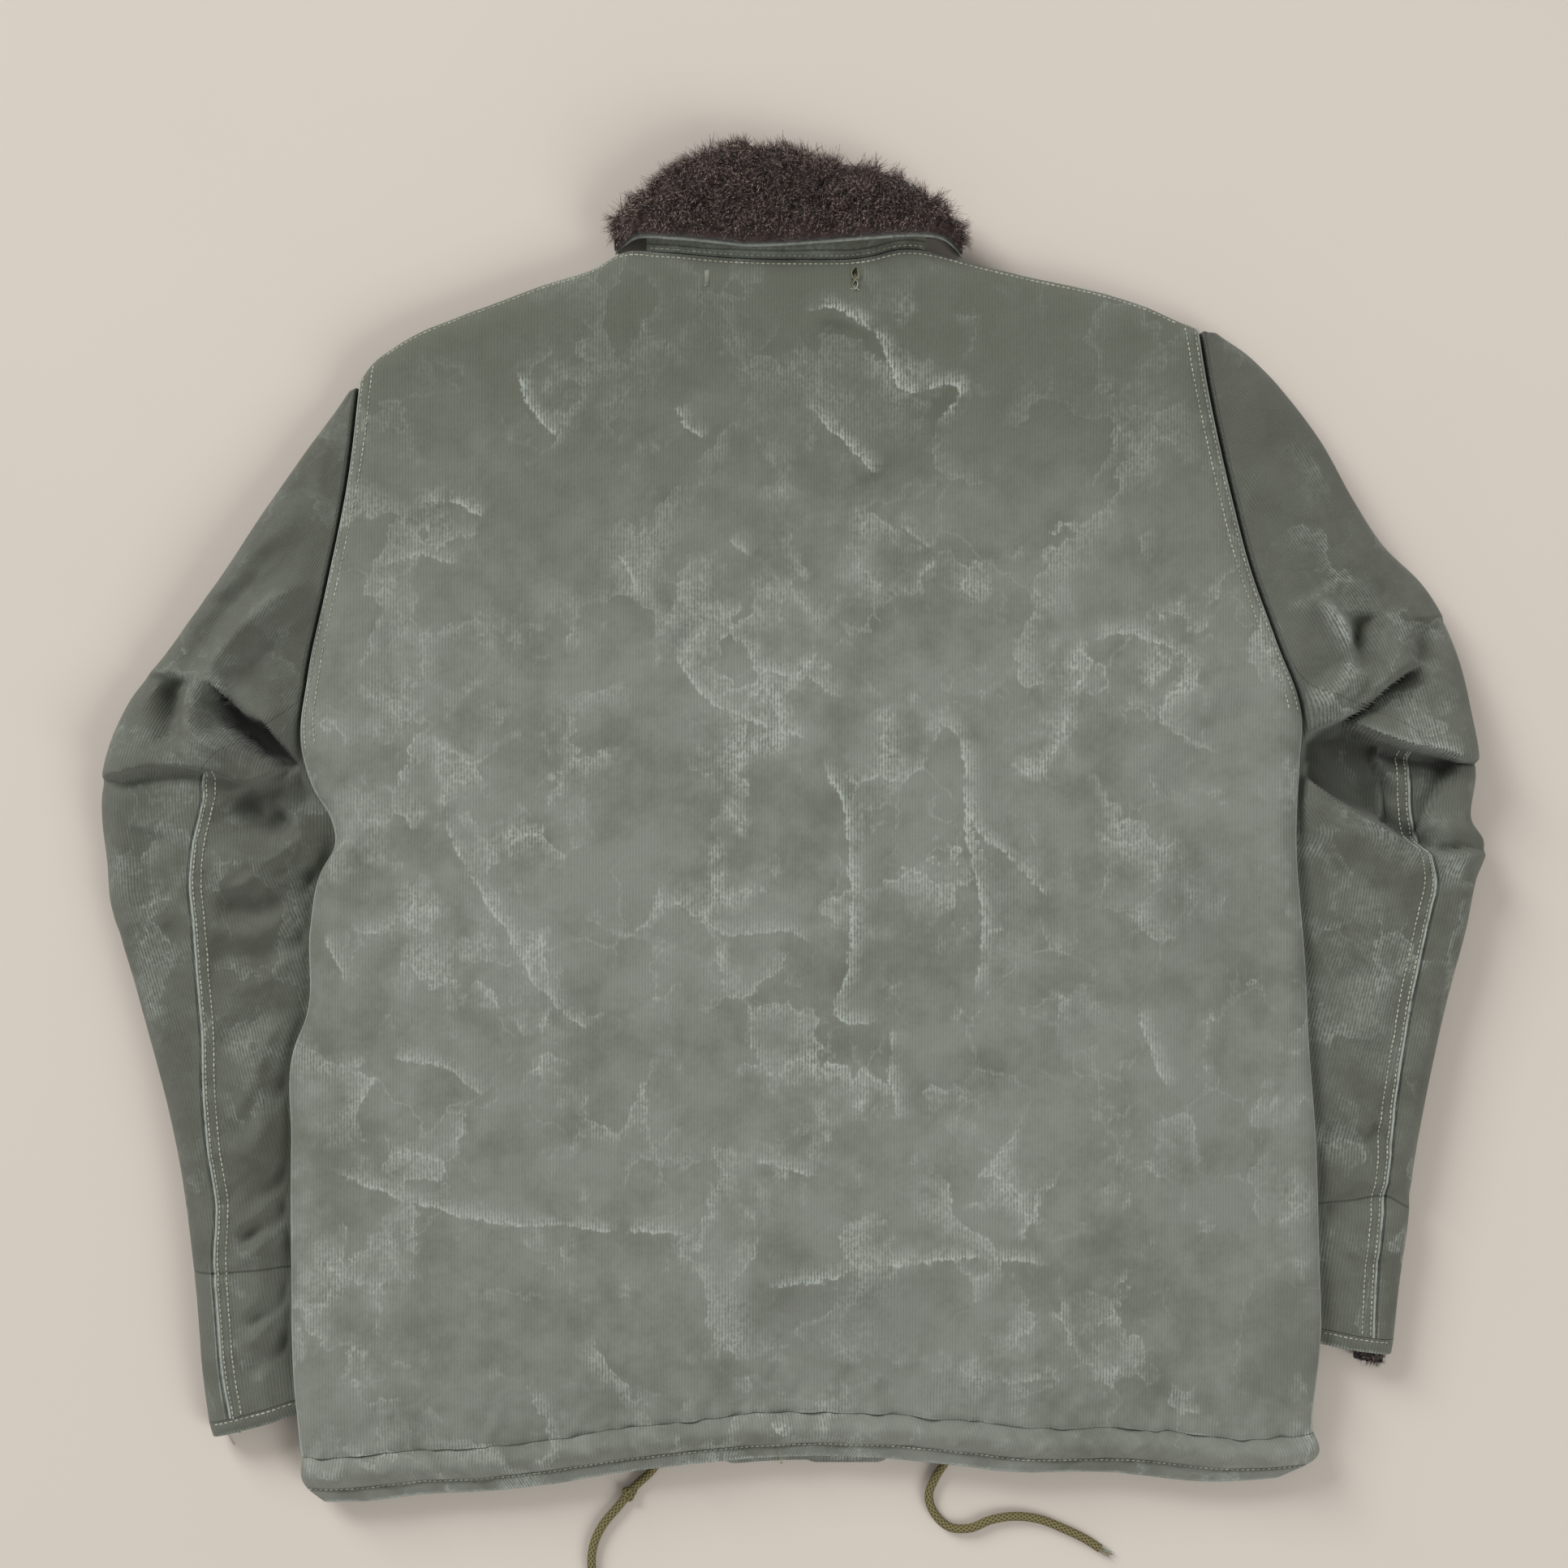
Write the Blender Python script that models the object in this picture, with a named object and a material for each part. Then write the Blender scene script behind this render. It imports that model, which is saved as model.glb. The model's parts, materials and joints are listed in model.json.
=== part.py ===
"""Deck jacket laid face down: back on top, fronts on the floor, sleeves tucked in at the sides.

Every table below is in millimetres, with +X to the right, +Y to the collar and the floor at 0.
"""
import bpy
import numpy as np

MM = 0.001

# Driving sizes of the jacket as it lies.
SEAM_GAP = 0.3
NECK_GAP = 0.9
CASING_GAP = 1.2
PLANE = 15.0
BODY_HEIGHT = 29.0
HEM_HEIGHT = 24.0
SIDE_ROUND = 18.0
SIDE_LIP = 17.5
ARMHOLE_LIP = 21.0
NECK_LIP = 22.0
TUCK = 8.0
SIDE_INSET = 15.0
ARMHOLE_INSET = 13.0
FREE_INSET = 2.0
PEEK = (0.40, 0.585)
BAND_WIDTH = 27.0
FRONT_BAND_WIDTH = 24.0
HEM_DROP = 5.0
CENTRE_FRONT = 31.0
FLY_WIDTH = 52.0
FLY_THICKNESS = 2.6
ZIP_WIDTH = 26.0
ZIP_THICKNESS = 1.6
SLEEVE_EDGE_ROUND = 13.0
SLEEVE_RISE_WIDTH = 18.0
SLEEVE_LEAST_HEIGHT = 10.0
SLEEVE_LAYER = 14.0
HIDDEN_SEAM = 2.0
LIP_CLEARANCE = 2.0
NEAR_EDGE = (-12.0, -6.0, 0.0, 6.0, 12.0)
CUFF_LENGTH = 9.0
LEAF_TOP = 36.0
LEAF_PILE = 13.0
LEAF_CLOTH = 1.6
COLLAR_ROUND = 15.0
STAND_TOP = 20.4
STAND_BOTTOM = 12.0
CORD_DIAMETER = 5.0
CORD_POINT_SPACING = 12.0
HEM_WIDTH = 575.0
LOWER_SEAM = 19.5
CASING_PUFF = 1.8
SEAM_DIP = 1.6
BAND_FALL = 8.0
GATHER_STRENGTH = 0.7
LEAST_BAND = 2.0
FLY_ENDS = (-368.0, 312.0)
ZIP_ENDS = (-352.0, 308.0)
FLY_CORNER = 9.0
FLY_END_WIDTH = 0.72
FLY_CLEARANCE = 5.0
FRONT_EDGE_LIFT = 5.0
FRONT_EDGE_ROUND = 14.0
FRONT_BAND_GAP = 2.0
SIDE_FOLD_REACH = 30.0
FOLD_BLEND = 5.0
FOLD_TAPER = 0.22
ROUTE_STEP = 6.0
FOLD_CLEARANCE = 10.0
EDGE_SLIT = 1.5
CUFF_SQUEEZE = 0.10
CUFF_SLIT = 0.6
CROWN_FALL = 5.0
CROWN_ROUND = 12.0
ROLL_SHARE = 0.55
ROLL_SLIT = 3.0
LEG_GAP = 2.0
FLOOR_LEG_SHARE = 0.94
CLOTH_EDGE_DROP = 1.8
CLOTH_SHORTER = 1.5
STAND_BEHIND_ROLL = 19.0
STAND_LEAST = 16.0
COLLAR_MIDDLE = -2.5
COLLAR_FLAT_HALF = 72.0
COLLAR_DROOP = 0.30
COLLAR_DROOP_SPAN = 30.0
SMOOTH_ANGLE = 50.0
CENTRE_SHIFT = (-0.46, -0.29)

# Left and right edges of the back: height up the jacket, then the edge's place across.
LEFT_EDGE = (
    (-388, -270), (-382, -278), (-359, -282), (-325, -286), (-249, -288), (-180, -288),
    (-126, -286), (-111, -280), (-57, -277), (-26, -271), (-11, -263), (4, -265),
    (21, -275), (39, -281), (86, -278), (138, -267), (198, -255), (255, -248))
RIGHT_EDGE = (
    (-374, 280), (-366, 297), (-343, 298), (-290, 303), (-243, 302), (-176, 300),
    (-122, 296), (-78, 294), (-3, 289), (40, 291), (64, 292), (107, 277),
    (149, 262), (187, 252), (217, 245), (256, 237), (287, 232))

# Hem and top edges: share of the way across, then the place up the jacket.
HEM_EDGE = (
    (0.0, -388), (0.05, -387), (0.11, -383), (0.17, -381.5), (0.23, -378), (0.31, -371),
    (0.40, -365), (0.47, -361.8), (0.57, -362), (0.65, -366), (0.71, -370), (0.82, -370.5),
    (0.93, -376), (1.0, -374))
TOP_EDGE = (
    (0.0, 256), (0.012, 264.5), (0.04, 275.5), (0.07, 284), (0.11, 292), (0.155, 300),
    (0.225, 312.5), (0.28, 321),
    (0.31, 329), (0.36, 329), (0.44, 326), (0.53, 325), (0.60, 326), (0.65, 331),
    (0.69, 329), (0.73, 324), (0.79, 317), (0.91, 303.5), (0.94, 298.5), (0.97, 292), (1.0, 286))

# Sleeve sections from shoulder to cuff: place up the body's edge, then the outer edge,
# the height of the puffed cloth and where the elbow seam crosses.
LEFT_SLEEVE = (
    (254, -256, 250, 17, -245), (225, -281, 215, 23, -250), (195, -305, 180, 26, -255),
    (165, -326, 147, 27, -261), (135, -344, 122, 28, -267), (105, -361, 99, 28, -272),
    (80, -378, 78, 28, -277), (60, -390, 54, 29, -300), (42, -396, 28, 30, -322),
    (25, -397, 6, 28, -337), (5, -395, -18, 26, -343), (-15, -393, -42, 26, -345),
    (-40, -387, -62, 26, -343), (-70, -379, -88, 26, -341), (-105, -369, -124, 26, -338),
    (-140, -360, -158, 26, -337), (-175, -353, -190, 26, -334), (-210, -349, -218, 25, -330),
    (-245, -345, -250, 25, -331), (-280, -342, -283, 24, -329), (-305, -340, -312, 23, -327),
    (-327, -336.5, -342, 21, -323))
RIGHT_SLEEVE = (
    (284, 245, 284, 18, 232), (262, 264, 270, 23, 236), (235, 284, 248, 26, 241),
    (208, 304, 221, 27, 248), (180, 321, 190, 28, 254), (152, 339, 162, 28, 262),
    (125, 362, 139, 28, 270), (100, 377, 113, 29, 282), (78, 386, 83, 29, 300),
    (58, 391, 55, 30, 330), (38, 393, 32, 27, 350), (18, 390, 6, 26, 354),
    (0, 398, -10, 28, 361), (-20, 392, -32, 28, 367), (-50, 387, -58, 27, 362),
    (-85, 378, -92, 26, 355), (-120, 370, -126, 26, 349), (-155, 363, -160, 26, 344),
    (-190, 357, -195, 25, 341), (-225, 354, -228, 25, 337), (-260, 349.5, -260, 24, 334),
    (-287, 346, -294, 22, 333))

# Folds: name, lift on the left of the route, lift on its right, how far each side reaches,
# and the route itself.
LEFT_FOLDS = (
    ("upper arm over forearm", 10, -9, 38, 26, ((-398, 22), (-378, 32), (-343, 34), (-324, 29),
                                               (-312, 25), (-298, 30), (-284, 36))),
    ("flap from the armhole", 5, -17, 34, 19, ((-333, 85), (-329, 79), (-322, 70), (-313, 63),
                                               (-304, 60), (-295, 46), (-283, 33))),
    ("hooked roll", 10, 10, 17, 17, ((-271, 139), (-294, 128), (-315, 109), (-330, 88),
                                     (-341, 65), (-341, 53), (-326, 44), (-306, 35))),
    ("hollow beside the roll", -7, -7, 20, 20, ((-350, 88), (-356, 61), (-354, 46))),
    ("hollow behind the roll", -8, -8, 13, 13, ((-301, 114), (-315, 97), (-326, 83))),
    ("upper arm pull", 4, 4, 15, 15, ((-276, 190), (-301, 160), (-330, 138), (-346, 110))),
    ("forearm hollow", -8, -8, 18, 18, ((-323, 17), (-301, -2), (-288, 10))),
    ("forearm roll", 6, 6, 20, 20, ((-334, -31), (-312, -19), (-289, -1), (-276, 8))),
    ("forearm crease", -7, -7, 14, 14, ((-331, -44), (-304, -44), (-282, -29), (-272, -22))),
    ("lower crease", -6, -6, 13, 13, ((-336, -70), (-305, -73), (-279, -57))),
    ("outer hollow", -5, -5, 20, 20, ((-366, 0), (-372, -24), (-364, -46))),
    ("wrist roll", 4, 4, 16, 16, ((-318, -190), (-300, -168), (-288, -150))),
    ("wrist crease", -4, -4, 14, 14, ((-330, -120), (-306, -112), (-288, -96))),
)
RIGHT_FOLDS = (
    ("long crease", 10, -5, 30, 18, ((293, 54), (316, 63), (338, 80), (359, 95))),
    ("outer flap", 9, -7, 28, 22, ((312, 62), (331, 53), (347, 47), (369, 43), (387, 35))),
    ("recess at the elbow", -13, -13, 27, 27, ((306, 44), (320, 27), (336, 38))),
    ("forearm edge", -9, 9, 18, 36, ((291, 34), (302, 23), (323, 9), (338, -1), (353, -10),
                                     (368, -16))),
    ("small roll", 9, 9, 12, 12, ((291, 135), (307, 119), (317, 100), (315, 86), (308, 79),
                                  (293, 61))),
    ("hollow beside the small roll", -8, -8, 13, 13, ((326, 124), (324, 103), (318, 88))),
    ("outer hollow", -6, -6, 16, 16, ((362, 120), (360, 101), (356, 94))),
    ("outer bump", -6, 4, 15, 14, ((352, -7), (370, -14), (385, -13), (398, -10))),
    ("shoulder pull", 4, 4, 18, 18, ((262, 205), (290, 180), (318, 150), (332, 128))),
    ("forearm roll", 4, 4, 18, 18, ((318, -60), (330, -92), (326, -128))),
    ("wrist crease", -5, -5, 14, 14, ((304, -170), (322, -182), (340, -172))),
    ("cuff crease", -5, -5, 10, 10, ((304, -222), (322, -214), (350, -210))),
)
BACK_FOLDS = (
    ("yoke pull", 3, 3, 20, 20, ((4, 295), (34, 286), (46, 279), (62, 251), (94, 251))),
    ("shoulder blade", 3, 3, 22, 22, ((4, 242), (28, 222), (50, 200))),
    ("left blade", 3, 3, 24, 24, ((-106, 149), (-82, 128), (-60, 108))),
    ("left rib", 3, 3, 24, 24, ((-87, 98), (-36, 60), (-8, 56))),
    ("spine", 3, 3, 24, 24, ((15, 42), (34, -37), (25, -109), (52, -109))),
    ("right rib", 3, 3, 22, 22, ((90, 70), (104, 14), (104, -74))),
    ("left waist", 3, 3, 24, 24, ((-204, -20), (-189, -33), (-152, -79), (-120, -100))),
    ("waist fold", 2.5, 2.5, 20, 20, ((-134, -223), (-90, -227), (-45, -228))),
    ("low fold", 3, 3, 18, 18, ((-22, -263), (40, -256), (99, -246))),
    ("left armpit hollow", -4, -4, 22, 22, ((-262, 30), (-240, 4), (-234, -40))),
    ("right armpit hollow", -4, -4, 24, 24, ((270, 70), (240, 50), (214, 12))),
    ("right waist hollow", -3, -3, 30, 30, ((60, -160), (120, -150), (180, -110))),
    ("left side hollow", -3, -3, 26, 26, ((-240, 120), (-214, 60), (-206, 10))),
)

# Gathers along the drawn hem: share of the way across, height, half width and slant.
HEM_GATHERS = (
    (0.035, 2.2, 7, 8), (0.085, 1.6, 6, -5), (0.13, 2.4, 5, 9), (0.165, 2.0, 5, 9),
    (0.20, 2.6, 6, 8), (0.245, 1.8, 5, -6), (0.285, 2.2, 6, 9), (0.33, 1.8, 5, 7),
    (0.37, 2.4, 7, -8), (0.42, 1.6, 6, 6), (0.47, 2.0, 7, 8), (0.52, 1.5, 6, -6),
    (0.565, 2.0, 6, -8), (0.61, 1.7, 6, 7), (0.65, 2.5, 5, -9), (0.69, 2.1, 5, -8),
    (0.73, 2.6, 6, -9), (0.775, 1.9, 5, 6), (0.82, 2.3, 6, -9), (0.865, 1.8, 5, -7),
    (0.91, 2.2, 6, -8), (0.96, 2.0, 7, -6))

# Collar: place across, the free edge of the turned leaf, and the top of the roll.
COLLAR = (
    (-102, 331, 350), (-97, 335, 353), (-89, 339.5, 357), (-72, 338.5, 372), (-58, 337.5, 380.5),
    (-39, 335.5, 386.5), (-27, 334.3, 389), (-8, 334.7, 386.5), (13, 336, 382), (34, 337.6, 378),
    (57, 339.4, 371), (71, 340, 362), (85, 339, 354), (93, 334, 345), (97, 329, 336))
STAND_ENDS = (-84, 76)

# Free ends of the drawstring at the hem, from the casing outwards.
RIGHT_CORD_ROUTE = (
    (90.0, -364.4, 5.6), (87.5, -368.5, 4.6), (82.5, -377, 3.0), (78.8, -387.8, 2.7), (82.3, -398, 2.7),
    (90.2, -405.3, 2.7), (101.8, -406.4, 2.7), (115.3, -401.3, 2.7), (128.8, -399.4, 2.7),
    (143.7, -401.3, 2.7), (156.7, -406.4, 2.7), (170.2, -412.9, 2.7), (178.0, -418.0, 2.7))
LEFT_CORD_ROUTE = (
    (-77.6, -366.6, 5.6), (-81.8, -372.4, 4.6), (-91.0, -381.5, 2.9), (-101.5, -394, 2.7),
    (-110.5, -405, 2.7), (-114.9, -414, 2.7), (-116.7, -424, 2.7), (-115.0, -437, 2.7),
    (-108.0, -449, 2.7), (-97.0, -458, 2.7), (-85.0, -463, 2.7), (-73.0, -471, 2.7))

# Grid counts.
BACK_COLUMNS = 19
FRONT_COLUMNS = 4
BAND_COLUMNS = 46
UNDER_COLUMNS = 7
TOP_COLUMNS = 9
EDGE_COLUMNS = 4
COLLAR_STATIONS = 20
COLLAR_LEG_COLUMNS = 4

# Rows up the body, as shares, closer together where its edges bend.
BODY_ROWS = (
    0.0, 0.012, 0.045, 0.098, 0.15, 0.2, 0.25, 0.30, 0.345, 0.381, 0.407, 0.431, 0.47, 0.515,
    0.561, 0.586, 0.61, 0.636, 0.664, 0.70, 0.733, 0.765, 0.79, 0.82, 0.849, 0.88, 0.911, 0.94,
    0.96, 0.977, 0.989, 1.0)
FRONT_ROWS = (
    0.0, 0.02, 0.05, 0.075, 0.11, 0.15, 0.216, 0.30, 0.36, 0.407, 0.45, 0.515, 0.561, 0.586, 0.61,
    0.636, 0.664, 0.733, 0.79, 0.849, 0.911, 0.96, 0.98, 0.995)
# Sleeve sections, counted along its table, three times as close round the elbow.
SLEEVE_ROWS = (
    0, 1, 2, 3, 3.5, 4, 4.33, 4.67, 5, 5.33, 5.67, 6, 6.33, 6.67, 7, 7.33, 7.67, 8, 8.33, 8.67, 9,
    9.33, 9.67, 10, 10.33, 10.67, 11, 11.5, 12, 12.5, 13, 13.5, 14, 15, 16, 17, 18, 19, 20, 21)

# Colours of the cloth, pile and cord, each with its roughness.
CLOTH_COLOUR = (0.136, 0.144, 0.112)
SLEEVE_COLOUR = (0.112, 0.118, 0.092)
PILE_COLOUR = (0.048, 0.033, 0.028)
CORD_COLOUR = (0.150, 0.125, 0.062)


def smoothstep(amount):
    """Ease from 0 to 1."""
    amount = np.clip(amount, 0.0, 1.0)
    return amount * amount * (3.0 - 2.0 * amount)


def quarter_round(distance, radius):
    """Height share of a rounded edge, from 0 at the edge to 1 at its radius."""
    share = 1.0 - np.clip(distance / radius, 0.0, 1.0)
    return np.sqrt(1.0 - share * share)


def through(stations, values, at):
    """Smooth curve through a column of values, read at the given stations."""
    stations = np.asarray(stations, float)
    values = np.asarray(values, float)
    slope = np.gradient(values, stations)
    at = np.asarray(at, float)
    start = np.clip(np.searchsorted(stations, at) - 1, 0, len(stations) - 2)
    span = stations[start + 1] - stations[start]
    t = np.clip((at - stations[start]) / span, 0.0, 1.0)
    rise = t * t * (3.0 - 2.0 * t)
    leave = t * (1.0 - t) ** 2 * span * slope[start]
    arrive = t * t * (t - 1.0) * span * slope[start + 1]
    return values[start] * (1.0 - rise) + values[start + 1] * rise + leave + arrive


def column(table, index):
    """One named column of a table."""
    return [row[index] for row in table]


def smooth_route(points, spacing):
    """Points at an even spacing on a smooth curve through a short route."""
    points = np.asarray(points, float)
    steps = np.linalg.norm(np.diff(points, axis=0), axis=1)
    along = np.concatenate(([0.0], np.cumsum(steps)))
    count = max(3, int(round(along[-1] / spacing)) + 1)
    at = np.linspace(0.0, along[-1], count)
    return np.stack([through(along, points[:, axis], at) for axis in range(points.shape[1])], axis=-1)


def route_distance(x, y, route):
    """Signed distance to a route, positive on its left, and the share of its length."""
    place = np.stack([x, y], axis=-1)[..., None, :]
    start = route[:-1]
    step = route[1:] - start
    length = np.linalg.norm(step, axis=1)
    along = np.concatenate(([0.0], np.cumsum(length)))
    t = np.clip(((place - start) * step).sum(-1) / (length * length), 0.0, 1.0)
    offset = place - (start + t[..., None] * step)
    distance = np.linalg.norm(offset, axis=-1)
    nearest = distance.argmin(-1)[..., None]
    side = step[:, 0] * offset[..., 1] - step[:, 1] * offset[..., 0]
    side = np.take_along_axis(side, nearest, -1)[..., 0]
    distance = np.take_along_axis(distance, nearest, -1)[..., 0]
    share = np.take_along_axis(along[:-1] + t * length, nearest, -1)[..., 0] / along[-1]
    return np.where(side >= 0.0, distance, -distance), share


def fold_lift(x, y, folds):
    """Sum of the lifts and hollows that the folds give at each place."""
    total = np.zeros_like(x)
    for _, lift_left, lift_right, reach_left, reach_right, points in folds:
        distance, share = route_distance(x, y, smooth_route(points, ROUTE_STEP))
        strength = smoothstep(share / FOLD_TAPER) * smoothstep((1.0 - share) / FOLD_TAPER)
        left = lift_left * (1.0 - smoothstep(np.abs(distance) / reach_left))
        right = lift_right * (1.0 - smoothstep(np.abs(distance) / reach_right))
        mix = smoothstep((distance + FOLD_BLEND) / (2.0 * FOLD_BLEND))
        total += strength * (left * mix + right * (1.0 - mix))
    return total


def shared(low, high, count, edge_shares):
    """Even shares from low to high with a few closer ones at both ends."""
    inner = np.linspace(low + edge_shares[-1], high - edge_shares[-1], count)
    return np.concatenate((low + np.asarray(edge_shares[:-1]), inner,
                           high - np.asarray(edge_shares[:-1])[::-1]))


def closed_wall(name, outer, inner, material, ring=False, turned=None):
    """One closed body between two grids of points, with its border joined up.

    From the column named by turned on, the faces are split along their other diagonal, so
    that a layer that has turned back lies face to face with the one above it.
    """
    rows, columns = outer.shape[:2]
    count = rows * columns
    points = np.concatenate((outer.reshape(-1, 3), inner.reshape(-1, 3)))
    points[:, :2] += CENTRE_SHIFT
    faces = []
    last = columns if ring else columns - 1
    turned = last if turned is None else turned

    def at(row, col, layer):
        return layer * count + row * columns + col % columns

    def quad(a, b, c, d, other=False):
        if other:
            faces.extend(((a, b, d), (b, c, d)))
        else:
            faces.extend(((a, b, c), (a, c, d)))

    for row in range(rows - 1):
        for col in range(last):
            other = col >= turned
            quad(at(row, col, 0), at(row, col + 1, 0), at(row + 1, col + 1, 0), at(row + 1, col, 0), other)
            quad(at(row, col, 1), at(row + 1, col, 1), at(row + 1, col + 1, 1), at(row, col + 1, 1), other)
    for col in range(last):
        quad(at(0, col + 1, 0), at(0, col, 0), at(0, col, 1), at(0, col + 1, 1))
        quad(at(rows - 1, col, 0), at(rows - 1, col + 1, 0),
             at(rows - 1, col + 1, 1), at(rows - 1, col, 1))
    if not ring:
        for row in range(rows - 1):
            quad(at(row, 0, 0), at(row + 1, 0, 0), at(row + 1, 0, 1), at(row, 0, 1))
            quad(at(row + 1, columns - 1, 0), at(row, columns - 1, 0),
                 at(row, columns - 1, 1), at(row + 1, columns - 1, 1))
    mesh = bpy.data.meshes.new(name)
    mesh.from_pydata((points * MM).tolist(), [], faces)
    volume = sum(np.dot(points[a], np.cross(points[b], points[c])) for a, b, c in faces)
    if volume < 0.0:
        mesh.flip_normals()
    mesh.shade_smooth()
    mesh.set_sharp_from_angle(angle=np.radians(SMOOTH_ANGLE))
    mesh.materials.append(material)
    piece = bpy.data.objects.new(name, mesh)
    bpy.context.scene.collection.objects.link(piece)
    return piece


def material_of(name, colour, roughness):
    """Plain finish for one kind of cloth."""
    material = bpy.data.materials.new(name)
    material.use_nodes = True
    shader = material.node_tree.nodes["Principled BSDF"]
    shader.inputs["Base Color"].default_value = (*colour, 1.0)
    shader.inputs["Roughness"].default_value = roughness
    shader.inputs["Metallic"].default_value = 0.0
    return material


def body_edges(up, hem_rise):
    """Left and right edges of the body at a share of its height above the casing seam."""
    edges = []
    for table in (LEFT_EDGE, RIGHT_EDGE):
        low = table[0][0] + hem_rise
        edges.append(through(column(table, 0), column(table, 1), low + up * (table[-1][0] - low)))
    return edges


def body_lengthwise(across, up, hem_rise):
    """Place up the jacket between the hem and the top edge, and the top edge itself."""
    hem_y = through(column(HEM_EDGE, 0), column(HEM_EDGE, 1), across) + hem_rise
    top_y = through(column(TOP_EDGE, 0), column(TOP_EDGE, 1), across)
    return hem_y + up * (top_y - hem_y), top_y


def armhole_share(up):
    """1 beside the armholes, 0 along the free sides."""
    return smoothstep((up - 0.64) / 0.05)


def body_top(x, y, left_x, right_x, top_y, up, across):
    """Height of the back's outer face."""
    from_side = np.minimum(x - left_x, right_x - x)
    from_top = top_y - y
    lip = SIDE_LIP + (ARMHOLE_LIP - SIDE_LIP) * armhole_share(up)
    at_neck = smoothstep((0.20 - np.abs(across - 0.5)) / 0.03)
    top_lip = SIDE_LIP + (NECK_LIP - SIDE_LIP) * at_neck
    full = HEM_HEIGHT + (BODY_HEIGHT - HEM_HEIGHT) * smoothstep(up / 0.06)
    full = full + fold_lift(x, y, BACK_FOLDS) * smoothstep(from_side / SIDE_FOLD_REACH)
    side = lip + (full - lip) * quarter_round(from_side, SIDE_ROUND)
    top = top_lip + (full - top_lip) * quarter_round(from_top, SIDE_ROUND)
    return np.minimum(side, top)


def make_back(material):
    """Back panel, from the casing seam to the shoulders, its lip over the sleeves' edges."""
    across = shared(0.0, 1.0, BACK_COLUMNS, (0.0, 0.006, 0.016, 0.034))
    across, up = np.meshgrid(across, BODY_ROWS)
    left_x, right_x = body_edges(up, BAND_WIDTH)
    x = left_x + across * (right_x - left_x)
    y, top_y = body_lengthwise(across, up, BAND_WIDTH)
    top = np.stack([x, y, body_top(x, y, left_x, right_x, top_y, up, across)], axis=-1)
    under = np.stack([x, y, np.full_like(x, PLANE)], axis=-1)
    return closed_wall("back", top, under, material)


def hem_place(across, below):
    """Place on the hem band: share across, and the distance below the casing seam."""
    left_x, right_x = body_edges(0.0, BAND_WIDTH - below)
    return left_x + across * (right_x - left_x), body_lengthwise(across, 0.0, BAND_WIDTH)[0] - below


def hem_under(below):
    """Height of the face where the back's band lies on the fronts' bands."""
    return PLANE - HEM_DROP * smoothstep((below - 4.0) / 18.0)


def make_hem_band(material):
    """Casing and turned edge of the back's hem, with its gathers and its lower seam."""
    across = shared(0.0, 1.0, BAND_COLUMNS, (0.0, 0.006, 0.016))
    below = np.array([CASING_GAP, 3.5, 9.5, 15.5, LOWER_SEAM, 22.0, 25.5, BAND_WIDTH])
    across, below = np.meshgrid(across, below)
    x, y = hem_place(across, below)
    drawn = np.sin(np.pi * np.clip(below / LOWER_SEAM, 0.0, 1.0))
    height = HEM_HEIGHT - BAND_FALL * smoothstep((below - 6.0) / 20.0) + CASING_PUFF * drawn
    height -= SEAM_DIP * np.exp(-((below - LOWER_SEAM) / SEAM_DIP) ** 2)
    for share, lift, half_width, slant in HEM_GATHERS:
        centre = (share - across) * HEM_WIDTH + slant * (below / LOWER_SEAM - 0.5)
        height += GATHER_STRENGTH * lift * np.exp(-(centre / half_width) ** 2) * drawn
    edge = np.minimum(across, 1.0 - across) * HEM_WIDTH
    floor = hem_under(below) + SEAM_GAP
    height = floor + LEAST_BAND + (height - floor - LEAST_BAND) * quarter_round(edge, SIDE_ROUND)
    top = np.stack([x, y, height], axis=-1)
    under = np.stack([x, y, floor], axis=-1)
    return closed_wall("hem_band_back", top, under, material)


def front_floor(x):
    """Height of the fronts' outer face: on the floor, and over the zip and its fly."""
    half = FLY_WIDTH / 2.0
    raised = FLY_THICKNESS + ZIP_THICKNESS + 2.0 * SEAM_GAP
    return raised * smoothstep((half + FLY_CLEARANCE + 1.0 - np.abs(x - CENTRE_FRONT)) / FLY_CLEARANCE)


def front_columns(edge_x, left):
    """Places across one front, closer together at its side and beside the fly."""
    side = -1.0 if left else 1.0
    edge_x = np.asarray(edge_x, float)[..., None]
    near = edge_x - side * np.array([0.0, 4.0, 16.0])
    far = CENTRE_FRONT + side * np.array([FLY_WIDTH / 2.0 + 8.0, FLY_WIDTH / 2.0 + 2.0, SEAM_GAP])
    share = np.linspace(0.0, 1.0, FRONT_COLUMNS + 2)[1:-1]
    middle = near[..., -1:] + (far[0] - near[..., -1:]) * share
    return np.concatenate((near, middle, np.broadcast_to(far, near.shape[:-1] + far.shape)), axis=-1)


def make_front(name, left, material):
    """One front panel on the floor, its side further in where a sleeve is tucked."""
    up = np.array(FRONT_ROWS)
    hem_rise = FRONT_BAND_WIDTH + FRONT_BAND_GAP
    left_x, right_x = body_edges(up, hem_rise)
    tucked = smoothstep((up - (0.025 if left else 0.05)) / 0.02)
    tucked_inset = SIDE_INSET + (ARMHOLE_INSET - SIDE_INSET) * armhole_share(up)
    inset = FREE_INSET + (tucked_inset - FREE_INSET) * tucked
    x = front_columns(left_x + inset if left else right_x - inset, left)
    across = (x - left_x[:, None]) / (right_x - left_x)[:, None]
    y, top_y = body_lengthwise(across, up[:, None], hem_rise)
    edge = np.minimum(np.abs(x - x[:, :1]), top_y - y)
    under = front_floor(x) + FRONT_EDGE_LIFT * (1.0 - quarter_round(edge, FRONT_EDGE_ROUND))
    upper = np.full_like(x, PLANE - SEAM_GAP)
    return closed_wall(name, np.stack([x, y, upper], -1), np.stack([x, y, under], -1), material)


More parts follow.
